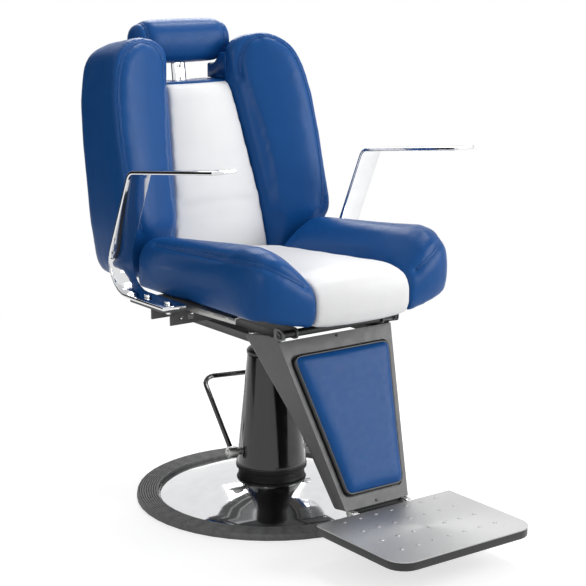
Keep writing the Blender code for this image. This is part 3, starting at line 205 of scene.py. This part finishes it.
class Finish:
    """A Principled material with short calls for the textures that feed it."""

    def __init__(self, name, color, roughness, metallic=0.0, **settings):
        self.material = bpy.data.materials.new(name)
        self.material.use_nodes = True
        self.tree = self.material.node_tree
        self.shader = self.tree.nodes["Principled BSDF"]
        self.color = color
        self.shader.inputs["Base Color"].default_value = (*color, 1)
        self.shader.inputs["Roughness"].default_value = roughness
        self.shader.inputs["Metallic"].default_value = metallic
        for socket, value in settings.items():
            self.shader.inputs[socket.replace("_", " ")].default_value = value
        self.place = self.tree.nodes.new("ShaderNodeTexCoord").outputs["Object"]

    def node(self, kind, links=(), **values):
        """A node with its socket values set and its sockets linked."""
        made = self.tree.nodes.new("ShaderNode" + kind)
        for key, value in values.items():
            socket = key.replace("_", " ")
            if socket in made.inputs:
                made.inputs[socket].default_value = value
            else:
                setattr(made, key, value)
        for socket, source in links:
            self.tree.links.new(source, made.inputs[socket])
        return made

    def stretched(self, scale):
        """The object's coordinates, scaled along each axis."""
        return self.node("Mapping", [("Vector", self.place)], Scale=scale).outputs["Vector"]

    def away(self, place):
        """The distance of a place from the object's origin."""
        return self.node("VectorMath", [(0, place)], operation="LENGTH").outputs["Value"]

    def noise(self, scale, detail=2.0, place=None):
        made = self.node("TexNoise", [("Vector", place or self.place)], Scale=scale, Detail=detail)
        return made.outputs["Fac"]

    def cells(self, scale):
        made = self.node("TexVoronoi", [("Vector", self.place)], Scale=scale, feature="DISTANCE_TO_EDGE")
        return made.outputs["Distance"]

    def reckon(self, operation, source, number):
        """A value worked on by one number."""
        made = self.node("Math", [(0, source)], operation=operation)
        made.inputs[1].default_value = number
        return made.outputs[0]

    def ranged(self, source, start, end, low, high):
        """A value's range start ... end mapped to low ... high."""
        made = self.node("MapRange", [("Value", source)], From_Min=start, From_Max=end, To_Min=low, To_Max=high)
        return made.outputs["Result"]

    def spread(self, source, low, high):
        """A texture's middle range mapped to low ... high."""
        return self.ranged(source, 0.3, 0.7, low, high)

    def roughen(self, source, low, high):
        self.tree.links.new(self.spread(source, low, high), self.shader.inputs["Roughness"])

    def tint(self, source, low, high, over=None):
        """The colour, darker or lighter by a texture, over a shade made before."""
        shade = self.spread(source, low, high)
        if over:
            shade = self.node("Math", [(0, shade), (1, over)], operation="MULTIPLY").outputs[0]
        made = self.node("VectorMath", [(1, shade)], operation="MULTIPLY")
        made.inputs[0].default_value = self.color
        self.tree.links.new(made.outputs["Vector"], self.shader.inputs["Base Color"])

    def bump(self, layers):
        """Stacked bumps: texture, height in metres, strength."""
        normal = None
        for source, height, strength in layers:
            links = [("Height", source)]
            if normal:
                links.append(("Normal", normal))
            normal = self.node("Bump", links, Strength=strength, Distance=height).outputs["Normal"]
        self.tree.links.new(normal, self.shader.inputs["Normal"])


def vinyl(name, color, roughness, gloss, mottle):
    """Upholstery vinyl: fine pebble grain, faint mottling."""
    finish = Finish(name, color, roughness, Specular_IOR_Level=gloss)
    grain = finish.cells(620)
    fine = finish.noise(1900, 3.0)
    finish.tint(finish.noise(26, 4.0), 1 - mottle, 1 + mottle)
    finish.roughen(finish.noise(90, 3.0), roughness - 0.05, roughness + 0.06)
    finish.bump([(grain, 0.00012, 0.30), (fine, 0.00006, 0.25)])
    return finish.material


def thread(name, color):
    """Twisted sewing thread."""
    finish = Finish(name, color, 0.55, Sheen_Weight=0.2)
    twist = finish.noise(2600, 2.0)
    finish.tint(twist, 0.8, 1.2)
    finish.bump([(twist, 0.0001, 0.5)])
    return finish.material


def polished(name, color, roughness):
    """Plated metal: near mirror, with hair scratches."""
    finish = Finish(name, color, roughness, 1.0)
    scratches = finish.noise(300, 4.0, finish.stretched((0.3, 4.0, 2.0)))
    finish.roughen(scratches, roughness * 0.7, roughness * 1.6)
    finish.tint(finish.noise(30, 3.0), 0.97, 1.03)
    finish.bump([(scratches, 0.00001, 0.12)])
    return finish.material


def brushed(name, color, roughness, stretch):
    """Sheet metal with a brushed grain along one axis."""
    finish = Finish(name, color, roughness, 1.0, Anisotropic=0.35)
    grain = finish.noise(160, 6.0, finish.stretched(stretch))
    finish.roughen(grain, roughness - 0.08, roughness + 0.10)
    finish.tint(grain, 0.90, 1.10)
    finish.bump([(grain, 0.00004, 0.25)])
    return finish.material


def painted(name, color, roughness, peel, coat=0.0, gloss=0.5):
    """Sprayed or powder coat with its peel and a little wear in the gloss."""
    finish = Finish(name, color, roughness, Coat_Weight=coat, Coat_Roughness=0.04, Specular_IOR_Level=gloss)
    skin = finish.noise(peel, 3.0)
    finish.roughen(finish.noise(60, 4.0), roughness - 0.04, roughness + 0.06)
    finish.tint(finish.noise(400, 3.0), 0.92, 1.08)
    finish.bump([(skin, 0.00008, 0.25)])
    return finish.material


def rubbery(name, color):
    """Matt rubber of the foot ring, its grooves darkened with painted shade."""
    finish = Finish(name, color, 0.62, Specular_IOR_Level=0.35)
    inward = finish.reckon("SUBTRACT", finish.away(finish.stretched((1, 1, 0))), GROOVE_FROM)
    top = finish.node("Clamp", [("Value", inward)], Min=GROOVE_PITCH / 2, Max=GROOVE_PITCH * (GROOVES + 0.5))
    groove = finish.reckon("PINGPONG", top.outputs[0], GROOVE_PITCH / 2)
    # Painted shade: the colour falls to 0.30 in each groove and rises to 1.10 on the lands between
    painted_groove_shade = finish.ranged(groove, 0.08 * GROOVE_PITCH, 0.24 * GROOVE_PITCH, 0.30, 1.10)
    finish.tint(finish.noise(70, 5.0), 0.86, 1.16, painted_groove_shade)
    finish.roughen(finish.noise(220, 3.0), 0.52, 0.72)
    finish.bump([(finish.noise(900, 3.0), 0.00015, 0.35)])
    return finish.material


def ply(name, color):
    """Plywood: long grain on the faces."""
    finish = Finish(name, color, 0.6)
    grain = finish.noise(9, 6.0, finish.stretched((1.0, 14.0, 60.0)))
    finish.tint(grain, 0.72, 1.2)
    finish.bump([(grain, 0.0002, 0.3)])
    return finish.material


FINISHES = {
    "blue_vinyl": vinyl("blue_vinyl", BLUE, 0.35, 0.16, 0.04),
    "white_vinyl": vinyl("white_vinyl", WHITE, 0.46, 0.20, 0.008),
    "chrome": polished("chrome", CHROME, 0.05),
    "stainless": brushed("stainless", STAINLESS, 0.46, (0.6, 16.0, 16.0)),
    "steel": brushed("steel", ZINC, 0.36, (1.0, 6.0, 6.0)),
    "grey_paint": painted("grey_paint", GREY_PAINT, 0.42, 1500),
    "black_paint": painted("black_paint", BLACK_PAINT, 0.34, 900),
    "black_gloss": painted("black_gloss", BLACK_GLOSS, 0.16, 160, 0.4),
    "black_satin": painted("black_satin", BLACK_PAINT, 0.50, 900, gloss=0.15),
    "rubber": rubbery("rubber", RUBBER),
    "plywood": ply("plywood", PLYWOOD),
}
THREAD_BLUE = thread("thread_blue", tuple(c * 1.3 for c in BLUE))

# Nodes whose finish isn't their slot's own, and a node whose edges aren't rounded
FINISH_OF = {
    "foot_lever": "black_gloss",
    "pump_cylinder": "black_satin",
    "recline_link_left": "grey_paint",
    "recline_link_right": "grey_paint",
}
PLAIN_EDGES = {"legrest_front_plate"}


# Meshes

def crisp(piece, angle=CREASE):
    """Edges sharper than the angle stay crisp in smooth shading."""
    piece.modifiers.new("Split", "EDGE_SPLIT").split_angle = angle


def dress_cad_nodes():
    """Every carried-over node gets its finish, welded faces and rounded edges."""
    for part in frame["record"]["subparts"]:
        name = part["node"]
        node = nodes[name]
        mesh = node.data
        mesh.materials.clear()
        mesh.materials.append(FINISHES[FINISH_OF.get(name, part["material_slot"])])
        if "custom_normal" in mesh.attributes:
            mesh.attributes.remove(mesh.attributes["custom_normal"])
        mesh.shade_smooth()
        node.modifiers.new("Weld", "WELD").merge_threshold = WELD
        if name not in PLAIN_EDGES:
            bevel = node.modifiers.new("Bevel", "BEVEL")
            bevel.width = ARM_BREAK if name.startswith("armrest") else EDGE_BREAK
            bevel.segments = 3
            bevel.limit_method = "ANGLE"
            bevel.angle_limit = SHARP
        crisp(node, PLATE_CREASE if name == "footrest_plate" else CREASE)


def add_object(name, mesh):
    piece = bpy.data.objects.new(name, mesh)
    scene.collection.objects.link(piece)
    return piece


def add_piece(name, verts, faces, material, body):
    """A detail made of listed points and faces, riding on a body."""
    mesh = bpy.data.meshes.new(name)
    mesh.from_pydata(verts, [], faces)
    mesh.validate()
    mesh.materials.append(material)
    mesh.shade_smooth()
    piece = add_object(name, mesh)
    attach(piece, body)
    return piece


def lofted(rows, count, turned_over=False, closed=False):
    """Faces between rings of points, capped at both ends or closed on themselves."""
    faces = []
    for row in range(rows if closed else rows - 1):
        below = row * count
        above = (row + 1) % rows * count
        for i in range(count):
            j = (i + 1) % count
            faces.append((below + i, below + j, above + j, above + i))
    if not closed:
        faces.append(tuple(reversed(range(count))))
        faces.append(tuple(range((rows - 1) * count, rows * count)))
    return [tuple(reversed(face)) for face in faces] if turned_over else faces


def around(count):
    """Cosine and sine at even angles."""
    angles = [2 * math.pi * i / count for i in range(count)]
    return [(math.cos(angle), math.sin(angle)) for angle in angles]


def applied(piece):
    """Puts the evaluated mesh in place of the piece's own, with no modifiers left."""
    bpy.context.view_layer.update()
    evaluated = piece.evaluated_get(bpy.context.evaluated_depsgraph_get())
    mesh = bpy.data.meshes.new_from_object(evaluated)
    old = piece.data
    piece.modifiers.clear()
    piece.data = mesh
    bpy.data.meshes.remove(old)
    mesh.name = piece.name


def smoothed(piece, repeat):
    smooth = piece.modifiers.new("Smooth", "SMOOTH")
    smooth.factor = SMOOTHING
    smooth.iterations = repeat
    applied(piece)


def surface(piece):
    """The piece's faces as a tree for rays and nearest points."""
    mesh = piece.data
    return BVHTree.FromPolygons([v.co for v in mesh.vertices], [p.vertices for p in mesh.polygons])


# Upholstery

def inflate(piece, pinned, cap):
    """Cloth under air pressure, held where pinned says so, and no point moved further than cap."""
    rest = [v.co.copy() for v in piece.data.vertices]
    group = piece.vertex_groups.new(name="pin")
    group.add([i for i, co in enumerate(rest) if pinned(co)], 1.0, "REPLACE")
    cloth = piece.modifiers.new("Cloth", "CLOTH")
    cloth.settings.use_pressure = True
    cloth.settings.uniform_pressure_force = PRESSURE
    cloth.settings.effector_weights.gravity = 0
    cloth.settings.vertex_group_mass = group.name
    cloth.settings.bending_stiffness = BENDING
    cloth.collision_settings.use_collision = False
    cloth.collision_settings.use_self_collision = False
    cloth.point_cache.frame_start = 1
    cloth.point_cache.frame_end = SIM_FRAMES
    for step in range(1, SIM_FRAMES + 1):
        scene.frame_set(step)
    applied(piece)
    for vertex, start in zip(piece.data.vertices, rest):
        move = vertex.co - start
        if move.length > cap:
            vertex.co = start + move * (cap / move.length)
    scene.frame_set(1)


def upholster(name, node, body, slot, pinned, cap, rounding=3, relax=3, voxel=VOXEL):
    """A stuffed piece in the space of a CAD solid: remeshed, rounded, inflated, subdivided."""
    piece = add_object(name, nodes[node].data.copy())
    remesh = piece.modifiers.new("Remesh", "REMESH")
    remesh.mode = "VOXEL"
    remesh.voxel_size = voxel
    applied(piece)
    smoothed(piece, rounding)
    inflate(piece, pinned, cap)
    smoothed(piece, relax)
    subdivide = piece.modifiers.new("Subdivision", "SUBSURF")
    subdivide.levels = 1
    subdivide.render_levels = 1
    applied(piece)
    piece.data.materials.clear()
    piece.data.materials.append(FINISHES[slot])
    piece.data.shade_smooth()
    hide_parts(node)
    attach(piece, body)
    return piece


# Seams

def evenly(points, step, closed=False):
    """Points at an even step along a path."""
    if closed:
        points = points + points[:1]
    spaced = [points[0]]
    left = step
    for start, end in zip(points, points[1:]):
        length = (end - start).length
        along = left
        while along <= length and length > 0:
            spaced.append(start.lerp(end, along / length))
            along += step
        left = along - length
    return spaced


def eased(points, repeat, closed=False):
    """A path with each point drawn towards its neighbours."""
    for _ in range(repeat):
        fresh = []
        for i, point in enumerate(points):
            before = points[i - 1] if closed or i else point
            after = points[(i + 1) % len(points)] if closed or i + 1 < len(points) else point
            fresh.append((before + 2 * point + after) / 4)
        points = fresh
    return points


def rim_path(tree, middle, facing, reach):
    """A closed path where a cushion's face turns away, found by rays along spokes from the face's middle."""
    facing = Vector(facing).normalized()
    across = Vector((0, 0, 1)).cross(facing).normalized()
    along = facing.cross(across)
    path = []
    for cosine, sine in around(RIM_SPOKES):
        spoke = across * cosine * reach[0] + along * sine * reach[1]
        step = RIM_STEP / spoke.length
        last = None
        travel, end = RIM_SPAN
        while travel < end:
            start = Vector(middle) + spoke * travel + facing * RAY_OFF
            place, normal, _, _ = tree.ray_cast(start, -facing)
            if place is None or normal.dot(facing) < math.cos(RIM_TURN):
                break
            if last and abs((place - last).dot(facing)) > RIM_FALL:
                break
            last = place
            travel += step
        if last:
            path.append(last)
    for _ in range(3):
        path = [tree.find_nearest(p)[0] for p in eased(path, 24, True)]
    return path


def guided(tree, guides):
    """A smooth path on a cushion, drawn near guide points."""
    path = evenly([Vector(g) for g in guides], BAND_STEP)
    for _ in range(4):
        path = [tree.find_nearest(p)[0] for p in eased(path, 8)]
    return path


def stretch_of(path, keep):
    """The longest run of a closed path whose points are kept."""
    flags = [keep(p) for p in path]
    if all(flags):
        return path
    first = flags.index(False)
    runs = [[]]
    for point in path[first:] + path[:first]:
        if keep(point):
            runs[-1].append(point)
        elif runs[-1]:
            runs.append([])
    return max(runs, key=len)


def draw_in(piece, path):
    """Pulls a cushion in along a seam, with small puckers beside it."""
    tree = KDTree(len(path))
    for i, point in enumerate(path):
        tree.insert(point, i)
    tree.balance()
    mesh = piece.data
    moves = []
    for vertex in mesh.vertices:
        _, i, distance = tree.find(vertex.co)
        if distance > 4 * ROLL_OFF_REACH:
            continue
        fall = ROLL_OFF * math.exp(-((distance / ROLL_OFF_REACH) ** ROLL_OFF_POWER))
        place = Vector((i * BAND_STEP / GATHER_PITCH, distance / GATHER_WIDTH, len(path) * GATHER_SHIFT))
        pucker = GATHER * noise.noise(place) * math.exp(-distance / GATHER_REACH)
        moves.append((vertex, vertex.normal * (pucker - fall)))
    for vertex, move in moves:
        vertex.co += move
    mesh.update()


def seat_on(tree, path):
    """Each point of a path on the surface, with the surface's normal and the path's side and run."""
    spots = []
    path = eased([tree.find_nearest(p)[0] for p in path], SEAM_EASE)
    normals = eased([tree.find_nearest(p)[1] for p in path], SEAM_EASE)
    for i, (place, normal) in enumerate(zip(path, normals)):
        normal.normalize()
        run = path[min(i + 1, len(path) - 1)] - path[max(i - 1, 0)]
        run = (run - normal * run.dot(normal)).normalized()
        spots.append((place, normal, normal.cross(run), run))
    return spots


def add_band(name, tree, path, body, closed):
    """The raised felled edge of a seam: a low rounded ribbon that lies on the cushion."""
    strands = []
    spots = seat_on(tree, path)
    for across, up in BAND_SECTION:
        strand = []
        for place, _, side, _ in spots:
            base, lift, _, _ = tree.find_nearest(place + side * across * BAND_HALF)
            strand.append(base + lift * up * BAND_RISE)
        strands.append(eased(strand, SEAM_EASE, closed))
    verts = [point for row in zip(*strands) for point in row]
    faces = lofted(len(path), len(BAND_SECTION), closed=closed)
    add_piece(name, verts, faces, FINISHES["blue_vinyl"], body)


def add_stitches(name, tree, path, body):
    """Two rows of short thread stitches that follow a seam."""
    verts = []
    faces = []
    spots = seat_on(tree, evenly(path, STITCH_PITCH))
    for row in (-STITCH_ROW, STITCH_ROW):
        feet = eased([tree.find_nearest(place + side * row)[0] for place, _, side, _ in spots], SEAM_EASE)
        for foot, (_, lift, side, run) in zip(feet, spots):
            centre = foot + lift * STITCH_LIFT
            start = len(verts)
            for along, swell in STITCH_SHAPE:
                sink = lift * (1 - swell) * -STITCH_R
                for cosine, sine in around(STITCH_SIDES):
                    ring = (side * cosine + lift * sine) * STITCH_R * swell
                    verts.append(centre + run * along * STITCH_LENGTH + ring + sink)
            faces += [tuple(start + k for k in face) for face in lofted(len(STITCH_SHAPE), STITCH_SIDES)]
    add_piece(name, verts, faces, THREAD_BLUE, body)


def sew(name, piece, path, body, closed=False):
    """A double stitched seam on a cushion."""
    path = evenly(path, BAND_STEP, closed)
    draw_in(piece, path)
    tree = surface(piece)
    add_band(name + "_band", tree, path, body, closed)
    add_stitches(name + "_thread", tree, path, body)


def sew_wing(piece, side):
    """Seam round the wing's front face, from its outer foot over the top to the pocket."""
    low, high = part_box("back_wing_left")
    inner_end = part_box("back_panel")[1].z + WING_INNER_END
    outer_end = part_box("seat_center")[1].z + WING_OUTER_END
    middle = Vector((side * (low.x + high.x) / 2, 0, (low.z + high.z) / 2 + WING_MIDDLE))
    tree = surface(piece)
    place, normal, _, _ = tree.ray_cast(middle + Vector((0, -1, 0)), Vector((0, 1, 0)))
    path = rim_path(tree, place, normal, ((high.x - low.x) / 2, (high.z - low.z) / 2))

    def kept(point):
        outer = side * point.x > side * middle.x
        return point.z > (outer_end if outer else inner_end)

    sew(piece.name + "_seam", piece, stretch_of(path, kept), "back")


def sew_bolster(piece, side):
    """Seam between the bolster's top and its boxing, across the front and along the outside."""
    low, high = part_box("seat_bolster_left")
    rise = high.z - BOLSTER_DROP
    guides = [(low.x + 0.004, low.y - 0.01, rise - 0.053), (low.x + 0.049, low.y - 0.01, rise - 0.038),
              (low.x + 0.089, low.y - 0.005, rise - 0.016), (low.x + 0.113, low.y + 0.016, rise - 0.005),
              (high.x - 0.013, low.y + 0.051, rise - 0.001)]
    for share in BOLSTER_RUN:
        guides.append((high.x, low.y + share * (high.y - low.y), rise - BOLSTER_SLOPE * share))
    path = guided(surface(piece), [(side * x, y, z) for x, y, z in guides])
    sew(piece.name + "_seam", piece, path, "seat_frame")


def sew_roll(piece):
    """A seam round each end of the headrest roll."""
    low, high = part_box("headrest_roll")
    for label, side in SIDES:
        tree = surface(piece)
        centre = Vector((side * (high.x - ROLL_CAP), (low.y + high.y) / 2, (low.z + high.z) / 2))
        path = [tree.ray_cast(centre, Vector((0, cosine, sine)))[0] for cosine, sine in around(ROLL_SPOKES)]
        sew("roll_seam_" + label, piece, path, "headrest", True)


# Form touches

def add_skin(name, piece, place, facing, slot, body):
    """A thin cover over the part of a piece that lies beyond a plane."""
    shape = bmesh.new()
    shape.from_mesh(piece.data)
    everything = shape.verts[:] + shape.edges[:] + shape.faces[:]
    bmesh.ops.bisect_plane(shape, geom=everything, plane_co=place, plane_no=facing, clear_inner=True)
    mesh = bpy.data.meshes.new(name)
    shape.to_mesh(mesh)
    shape.free()
    mesh.materials.clear()
    mesh.materials.append(FINISHES[slot])
    skin = add_object(name, mesh)
    solid = skin.modifiers.new("Solid", "SOLIDIFY")
    solid.thickness = 2 * TOP_SKIN
    solid.offset = 0
    applied(skin)
    skin.data.shade_smooth()
    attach(skin, body)


def clamped(value):
    return min(max(value, 0.0), 1.0)


def fill_heel(piece, side):
    """Squares the lower rear edge of a bolster, where the cover is pulled under the seat board."""
    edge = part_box("seat_bolster_left")[1].x
    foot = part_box("seat_board")[0].z + HEEL_CLEAR
    for vertex in piece.data.vertices:
        out = side * vertex.co.x
        if vertex.co.z > foot + HEEL_HEIGHT:
            continue
        share = HEEL_FILL * clamped((out - edge + HEEL_REACH) / HEEL_BLEND)
        share *= clamped((vertex.co.y + HEEL_LENGTH) / HEEL_LENGTH)
        down = clamped(1 - (vertex.co.z - foot) / HEEL_HEIGHT)
        vertex.co.z += (foot - vertex.co.z) * share * down
        vertex.co.x += side * max(edge - HEEL_INSET - out, 0) * share * (1 - down)
    piece.data.update()


def fill_corners(piece):
    """Spreads a back panel's upper corners out to the wings."""
    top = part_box("back_panel")[1].z
    for vertex in piece.data.vertices:
        share = clamped((vertex.co.z - top + CORNER_HEIGHT) / CORNER_HEIGHT)
        vertex.co.x *= 1 + CORNER_SPREAD * share * share
    piece.data.update()


def add_ledges():
    """The padded shoulder of each wing under the headrest roll, hollowed to the roll's own curve."""
    roll_low, roll_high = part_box("headrest_roll")
    wing_low, wing_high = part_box("back_wing_left")
    centre = (roll_low + roll_high) / 2
    half = (roll_high - roll_low) / 2
    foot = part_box("back_panel")[1].z
    rear = wing_high.y - LEDGE_FROM
    depths = [rear + LEDGE_DEPTH * i / LEDGE_STEPS for i in range(LEDGE_STEPS + 1)]
    tops = []
    for y in depths:
        span = clamped(1 - ((y - centre.y) / half.y) ** 2)
        tops.append(min(centre.z - half.z * math.sqrt(span) - LEDGE_CLEAR, roll_low.z + LEDGE_RISE))
    for label, side in SIDES:
        verts = []
        for offset, drop in LEDGE_ROWS:
            x = side * (wing_low.x + offset)
            verts += [(x, y, top - drop) for y, top in zip(depths, tops)]
            verts += [(x, y, foot) for y in reversed(depths)]
        faces = lofted(len(LEDGE_ROWS), 2 * len(depths), side < 0)
        add_piece("wing_ledge_" + label, verts, faces, FINISHES["blue_vinyl"], "back")


def make_upholstery():
    board_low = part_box("back_board")[0]
    seat_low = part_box("seat_board")[1].z
    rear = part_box("seat_bolster_left")[1].y - REAR_HELD

    def wing_held(co):
        return co.y > board_low.y + WING_LEAN * (co.z - board_low.z)

    def bolster_held(co):
        return co.z < seat_low or co.y > rear

    def panel_held(co):
        return abs(co.x) > PANEL_HELD

    def center_held(co):
        return bolster_held(co) or abs(co.x) > CENTER_HELD

    def free(co):
        return False

    for label, side in SIDES:
        wing = upholster("wing_" + label, "back_wing_" + label, "back", "blue_vinyl", wing_held,
                         cap=0.003, rounding=8, relax=9)
        sew_wing(wing, side)
        bolster = upholster("bolster_" + label, "seat_bolster_" + label, "seat_frame", "blue_vinyl",
                            bolster_held, cap=0.004, relax=9)
        fill_heel(bolster, side)
        sew_bolster(bolster, side)
    panel = upholster("panel", "back_panel", "back", "white_vinyl", panel_held, cap=0.001, relax=12)
    fill_corners(panel)
    seam_rise = max(v.co.z for v in panel.data.vertices) - TOP_BAND
    add_skin("panel_top", panel, (0, 0, seam_rise), (0, 0, 1), "blue_vinyl", "back")
    add_ledges()
    upholster("center", "seat_center", "seat_frame", "white_vinyl", center_held, cap=0.004, relax=6)
    roll = upholster("roll", "headrest_roll", "headrest", "blue_vinyl", free, cap=0.003,
                     voxel=FINE_VOXEL)
    sew_roll(roll)
    pad = upholster("leg_pad", "legrest_pad", "legrest", "blue_vinyl", free, cap=0.002, rounding=2,
                    voxel=FINE_VOXEL)
    add_piping(pad)
    upholster("back_cover", "back_board", "back", "blue_vinyl", free, cap=0.002, rounding=6,
              voxel=FINE_VOXEL)


# Hardware

def plate_spot(x, up, out):
    """A place on the legrest's front plate: along it from its foot, and out from its face."""
    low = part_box("legrest_front_plate")[0]
    return Vector((x, low.y, low.z + PLATE_FACE)) + PLATE_UP * up + PLATE_OUT * out


def add_piping(pad):
    """Black piping round the foot of the legrest pad, in the gap to its window; its black also stands in for
    painted shade in that gap.
    """
    tree = surface(pad)
    middle = plate_spot(*PAD_MIDDLE)
    path = []
    for cosine, sine in around(PIPING_SPOKES):
        spoke = Vector((cosine, 0, 0)) + PLATE_UP * sine
        place = tree.ray_cast(middle + spoke * PIPING_FROM, -spoke)[0]
        if place:
            path.append(place)
    path = evenly(eased(path, 2, True), BAND_STEP, True)[:-1]
    verts = []
    for i, place in enumerate(path):
        run = (path[(i + 1) % len(path)] - path[i - 1]).normalized()
        out = run.cross(PLATE_OUT).normalized()
        if out.dot(place - middle) < 0:
            out = -out
        for cosine, sine in around(PIPING_SIDES):
            verts.append(place + out * PIPING_R * cosine + PLATE_OUT * PIPING_DEPTH * sine)
    faces = lofted(len(path), PIPING_SIDES, turned_over=True, closed=True)
    add_piece("pad_piping", verts, faces, FINISHES["black_paint"], "legrest")


def add_turned(name, at, along, profile, slot):
    """A turned piece on the legrest: distances along its axis with their radii."""
    along = Vector(along).normalized()
    across = along.orthogonal().normalized()
    other = along.cross(across)
    verts = []
    for distance, radius in profile:
        for cosine, sine in around(TURNED_SIDES):
            verts.append(Vector(at) + along * distance + (across * cosine + other * sine) * radius)
    crisp(add_piece(name, verts, lofted(len(profile), TURNED_SIDES), FINISHES[slot], "legrest"))


def add_flap():
    """A ribbed rubber flap behind the foot of the legrest plate, over the footrest hinge."""
    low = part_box("legrest_front_plate")[0]
    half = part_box("footrest_lug_left")[1].x
    verts = []
    for i in range(FLAP_STEPS + 1):
        x = half * (2 * i / FLAP_STEPS - 1)
        rib = FLAP_RIB if i % 4 < 2 else 0.0
        verts += [(x, low.y + y - rib, low.z + z) for y, z in FLAP_SECTION]
    faces = lofted(FLAP_STEPS + 1, len(FLAP_SECTION))
    add_piece("hinge_flap", verts, faces, FINISHES["black_paint"], "legrest")


def add_strip(label, side):
    """The plated edge strip under a bolster: a folded angle with its screws' dimples."""
    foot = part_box("seat_board")[0].z
    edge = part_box("seat_bolster_left")[1].x - STRIP_INSET
    verts = []
    for i in range(STRIP_STEPS + 1):
        share = i / STRIP_STEPS
        y = STRIP_FROM + (STRIP_TO - STRIP_FROM) * share
        for k, (across, up) in enumerate(STRIP_SECTION):
            dimple = STRIP_DIMPLE if k == STRIP_FACE and i in STRIP_SCREWS else 0.0
            verts.append((side * (edge - STRIP_TAPER * share + across - dimple), y, foot + up))
    faces = lofted(STRIP_STEPS + 1, len(STRIP_SECTION), side > 0)
    crisp(add_piece("edge_strip_" + label, verts, faces, FINISHES["steel"], "seat_frame"))


def add_hardware():
    add_flap()
    for label, up in SCREWS:
        add_turned("legrest_screw_" + label, plate_spot(0, up, SCREW_OUT), PLATE_OUT, PAN_HEAD, "black_paint")
    hinge_low, hinge_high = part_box("legrest_hinge_tube")
    pivot = (hinge_low + hinge_high) / 2
    for label, side in SIDES:
        end = (side * (hinge_high.x + PIVOT_OUT), pivot.y, pivot.z)
        add_turned("pivot_washer_" + label, end, (side, 0, 0), WASHER, "steel")
        add_turned("pivot_cap_" + label, end, (side, 0, 0), PIVOT_CAP, "black_paint")
        add_strip(label, side)


# Studio

def ray_mix(tree, lit, seen):
    """Mixes two shaders: seen for camera, glossy and transmission rays, lit for the rest."""
    path = tree.nodes.new("ShaderNodeLightPath")
    first = tree.nodes.new("ShaderNodeMath")
    second = tree.nodes.new("ShaderNodeMath")
    for made in (first, second):
        made.operation = "MAXIMUM"
    tree.links.new(path.outputs["Is Camera Ray"], first.inputs[0])
    tree.links.new(path.outputs["Is Glossy Ray"], first.inputs[1])
    tree.links.new(first.outputs[0], second.inputs[0])
    tree.links.new(path.outputs["Is Transmission Ray"], second.inputs[1])
    mixed = tree.nodes.new("ShaderNodeMixShader")
    tree.links.new(second.outputs[0], mixed.inputs["Fac"])
    tree.links.new(lit, mixed.inputs[1])
    tree.links.new(seen, mixed.inputs[2])
    return mixed.outputs["Shader"]


def make_world():
    world = bpy.data.worlds.new("studio")
    scene.world = world
    world.use_nodes = True
    tree = world.node_tree
    lit = tree.nodes["Background"]
    seen = tree.nodes.new("ShaderNodeBackground")
    for shader, strength in ((lit, WORLD_LIT), (seen, 1.0)):
        shader.inputs["Color"].default_value = (1, 1, 1, 1)
        shader.inputs["Strength"].default_value = strength
    tree.links.new(ray_mix(tree, lit.outputs[0], seen.outputs[0]), tree.nodes["World Output"].inputs["Surface"])


def make_floor():
    """A wide pale disc that brightens to the background's white away from the chair, its shadow kept."""
    mesh = bpy.data.meshes.new("floor")
    shape = bmesh.new()
    bmesh.ops.create_circle(shape, cap_ends=True, radius=FLOOR_RADIUS, segments=96)
    shape.to_mesh(mesh)
    shape.free()
    floor = add_object("floor", mesh)
    floor.location.z = -FLOOR_DROP
    finish = Finish("floor", FLOOR, 0.9, Specular_IOR_Level=0.1)
    shader = finish.shader.outputs[0]
    fade = finish.node("MapRange", [("Value", finish.away(finish.place))], interpolation_type="SMOOTHSTEP",
                       From_Min=FLOOR_FADE[0], From_Max=FLOOR_FADE[1], To_Min=0.0, To_Max=1.0)
    glow = finish.node("Emission", Strength=FLOOR_GLOW)
    lifted = finish.node("AddShader", [(0, shader), (1, glow.outputs[0])])
    white = finish.node("Emission")
    faded = finish.node("MixShader", [("Fac", fade.outputs["Result"]), (1, lifted.outputs[0]),
                                      (2, white.outputs[0])])
    seen = ray_mix(finish.tree, shader, faded.outputs[0])
    finish.tree.links.new(seen, finish.tree.nodes["Material Output"].inputs["Surface"])
    mesh.materials.append(finish.material)


def make_lights():
    for name, at, aim, size, power in LAMPS:
        lamp = bpy.data.lights.new(name, "AREA")
        lamp.shape = "RECTANGLE"
        lamp.size, lamp.size_y = size
        lamp.energy = power
        holder = add_object(name, lamp)
        holder.location = at
        holder.rotation_euler = (Vector(aim) - Vector(at)).to_track_quat("-Z", "Y").to_euler()


def add_flag(name, at, aim, size):
    """A dark card outside the picture, for the shaded side of metal and vinyl to reflect."""
    mesh = bpy.data.meshes.new(name)
    shape = bmesh.new()
    bmesh.ops.create_grid(shape, x_segments=1, y_segments=1, size=0.5)
    bmesh.ops.scale(shape, vec=(*size, 1), verts=shape.verts)
    shape.to_mesh(mesh)
    shape.free()
    card = add_object(name, mesh)
    card.location = at
    card.rotation_euler = (Vector(aim) - Vector(at)).to_track_quat("Z", "Y").to_euler()
    mesh.materials.append(Finish(name, FLAG, 0.9, Specular_IOR_Level=0.0).material)
    card.visible_camera = False
    card.visible_diffuse = False
    card.visible_shadow = False


def make_camera():
    camera = bpy.data.cameras.new("camera")
    camera.lens = CAMERA_LENS
    camera.sensor_width = SENSOR
    camera.clip_start = 0.05
    holder = add_object("camera", camera)
    holder.location = CAMERA_AT
    holder.rotation_euler = CAMERA_BACK.to_track_quat("Z", "Y").to_euler()
    scene.camera = holder


dress_cad_nodes()
make_upholstery()
add_hardware()
make_world()
make_floor()
make_lights()
add_flag(*FLAG_CARD)
make_camera()
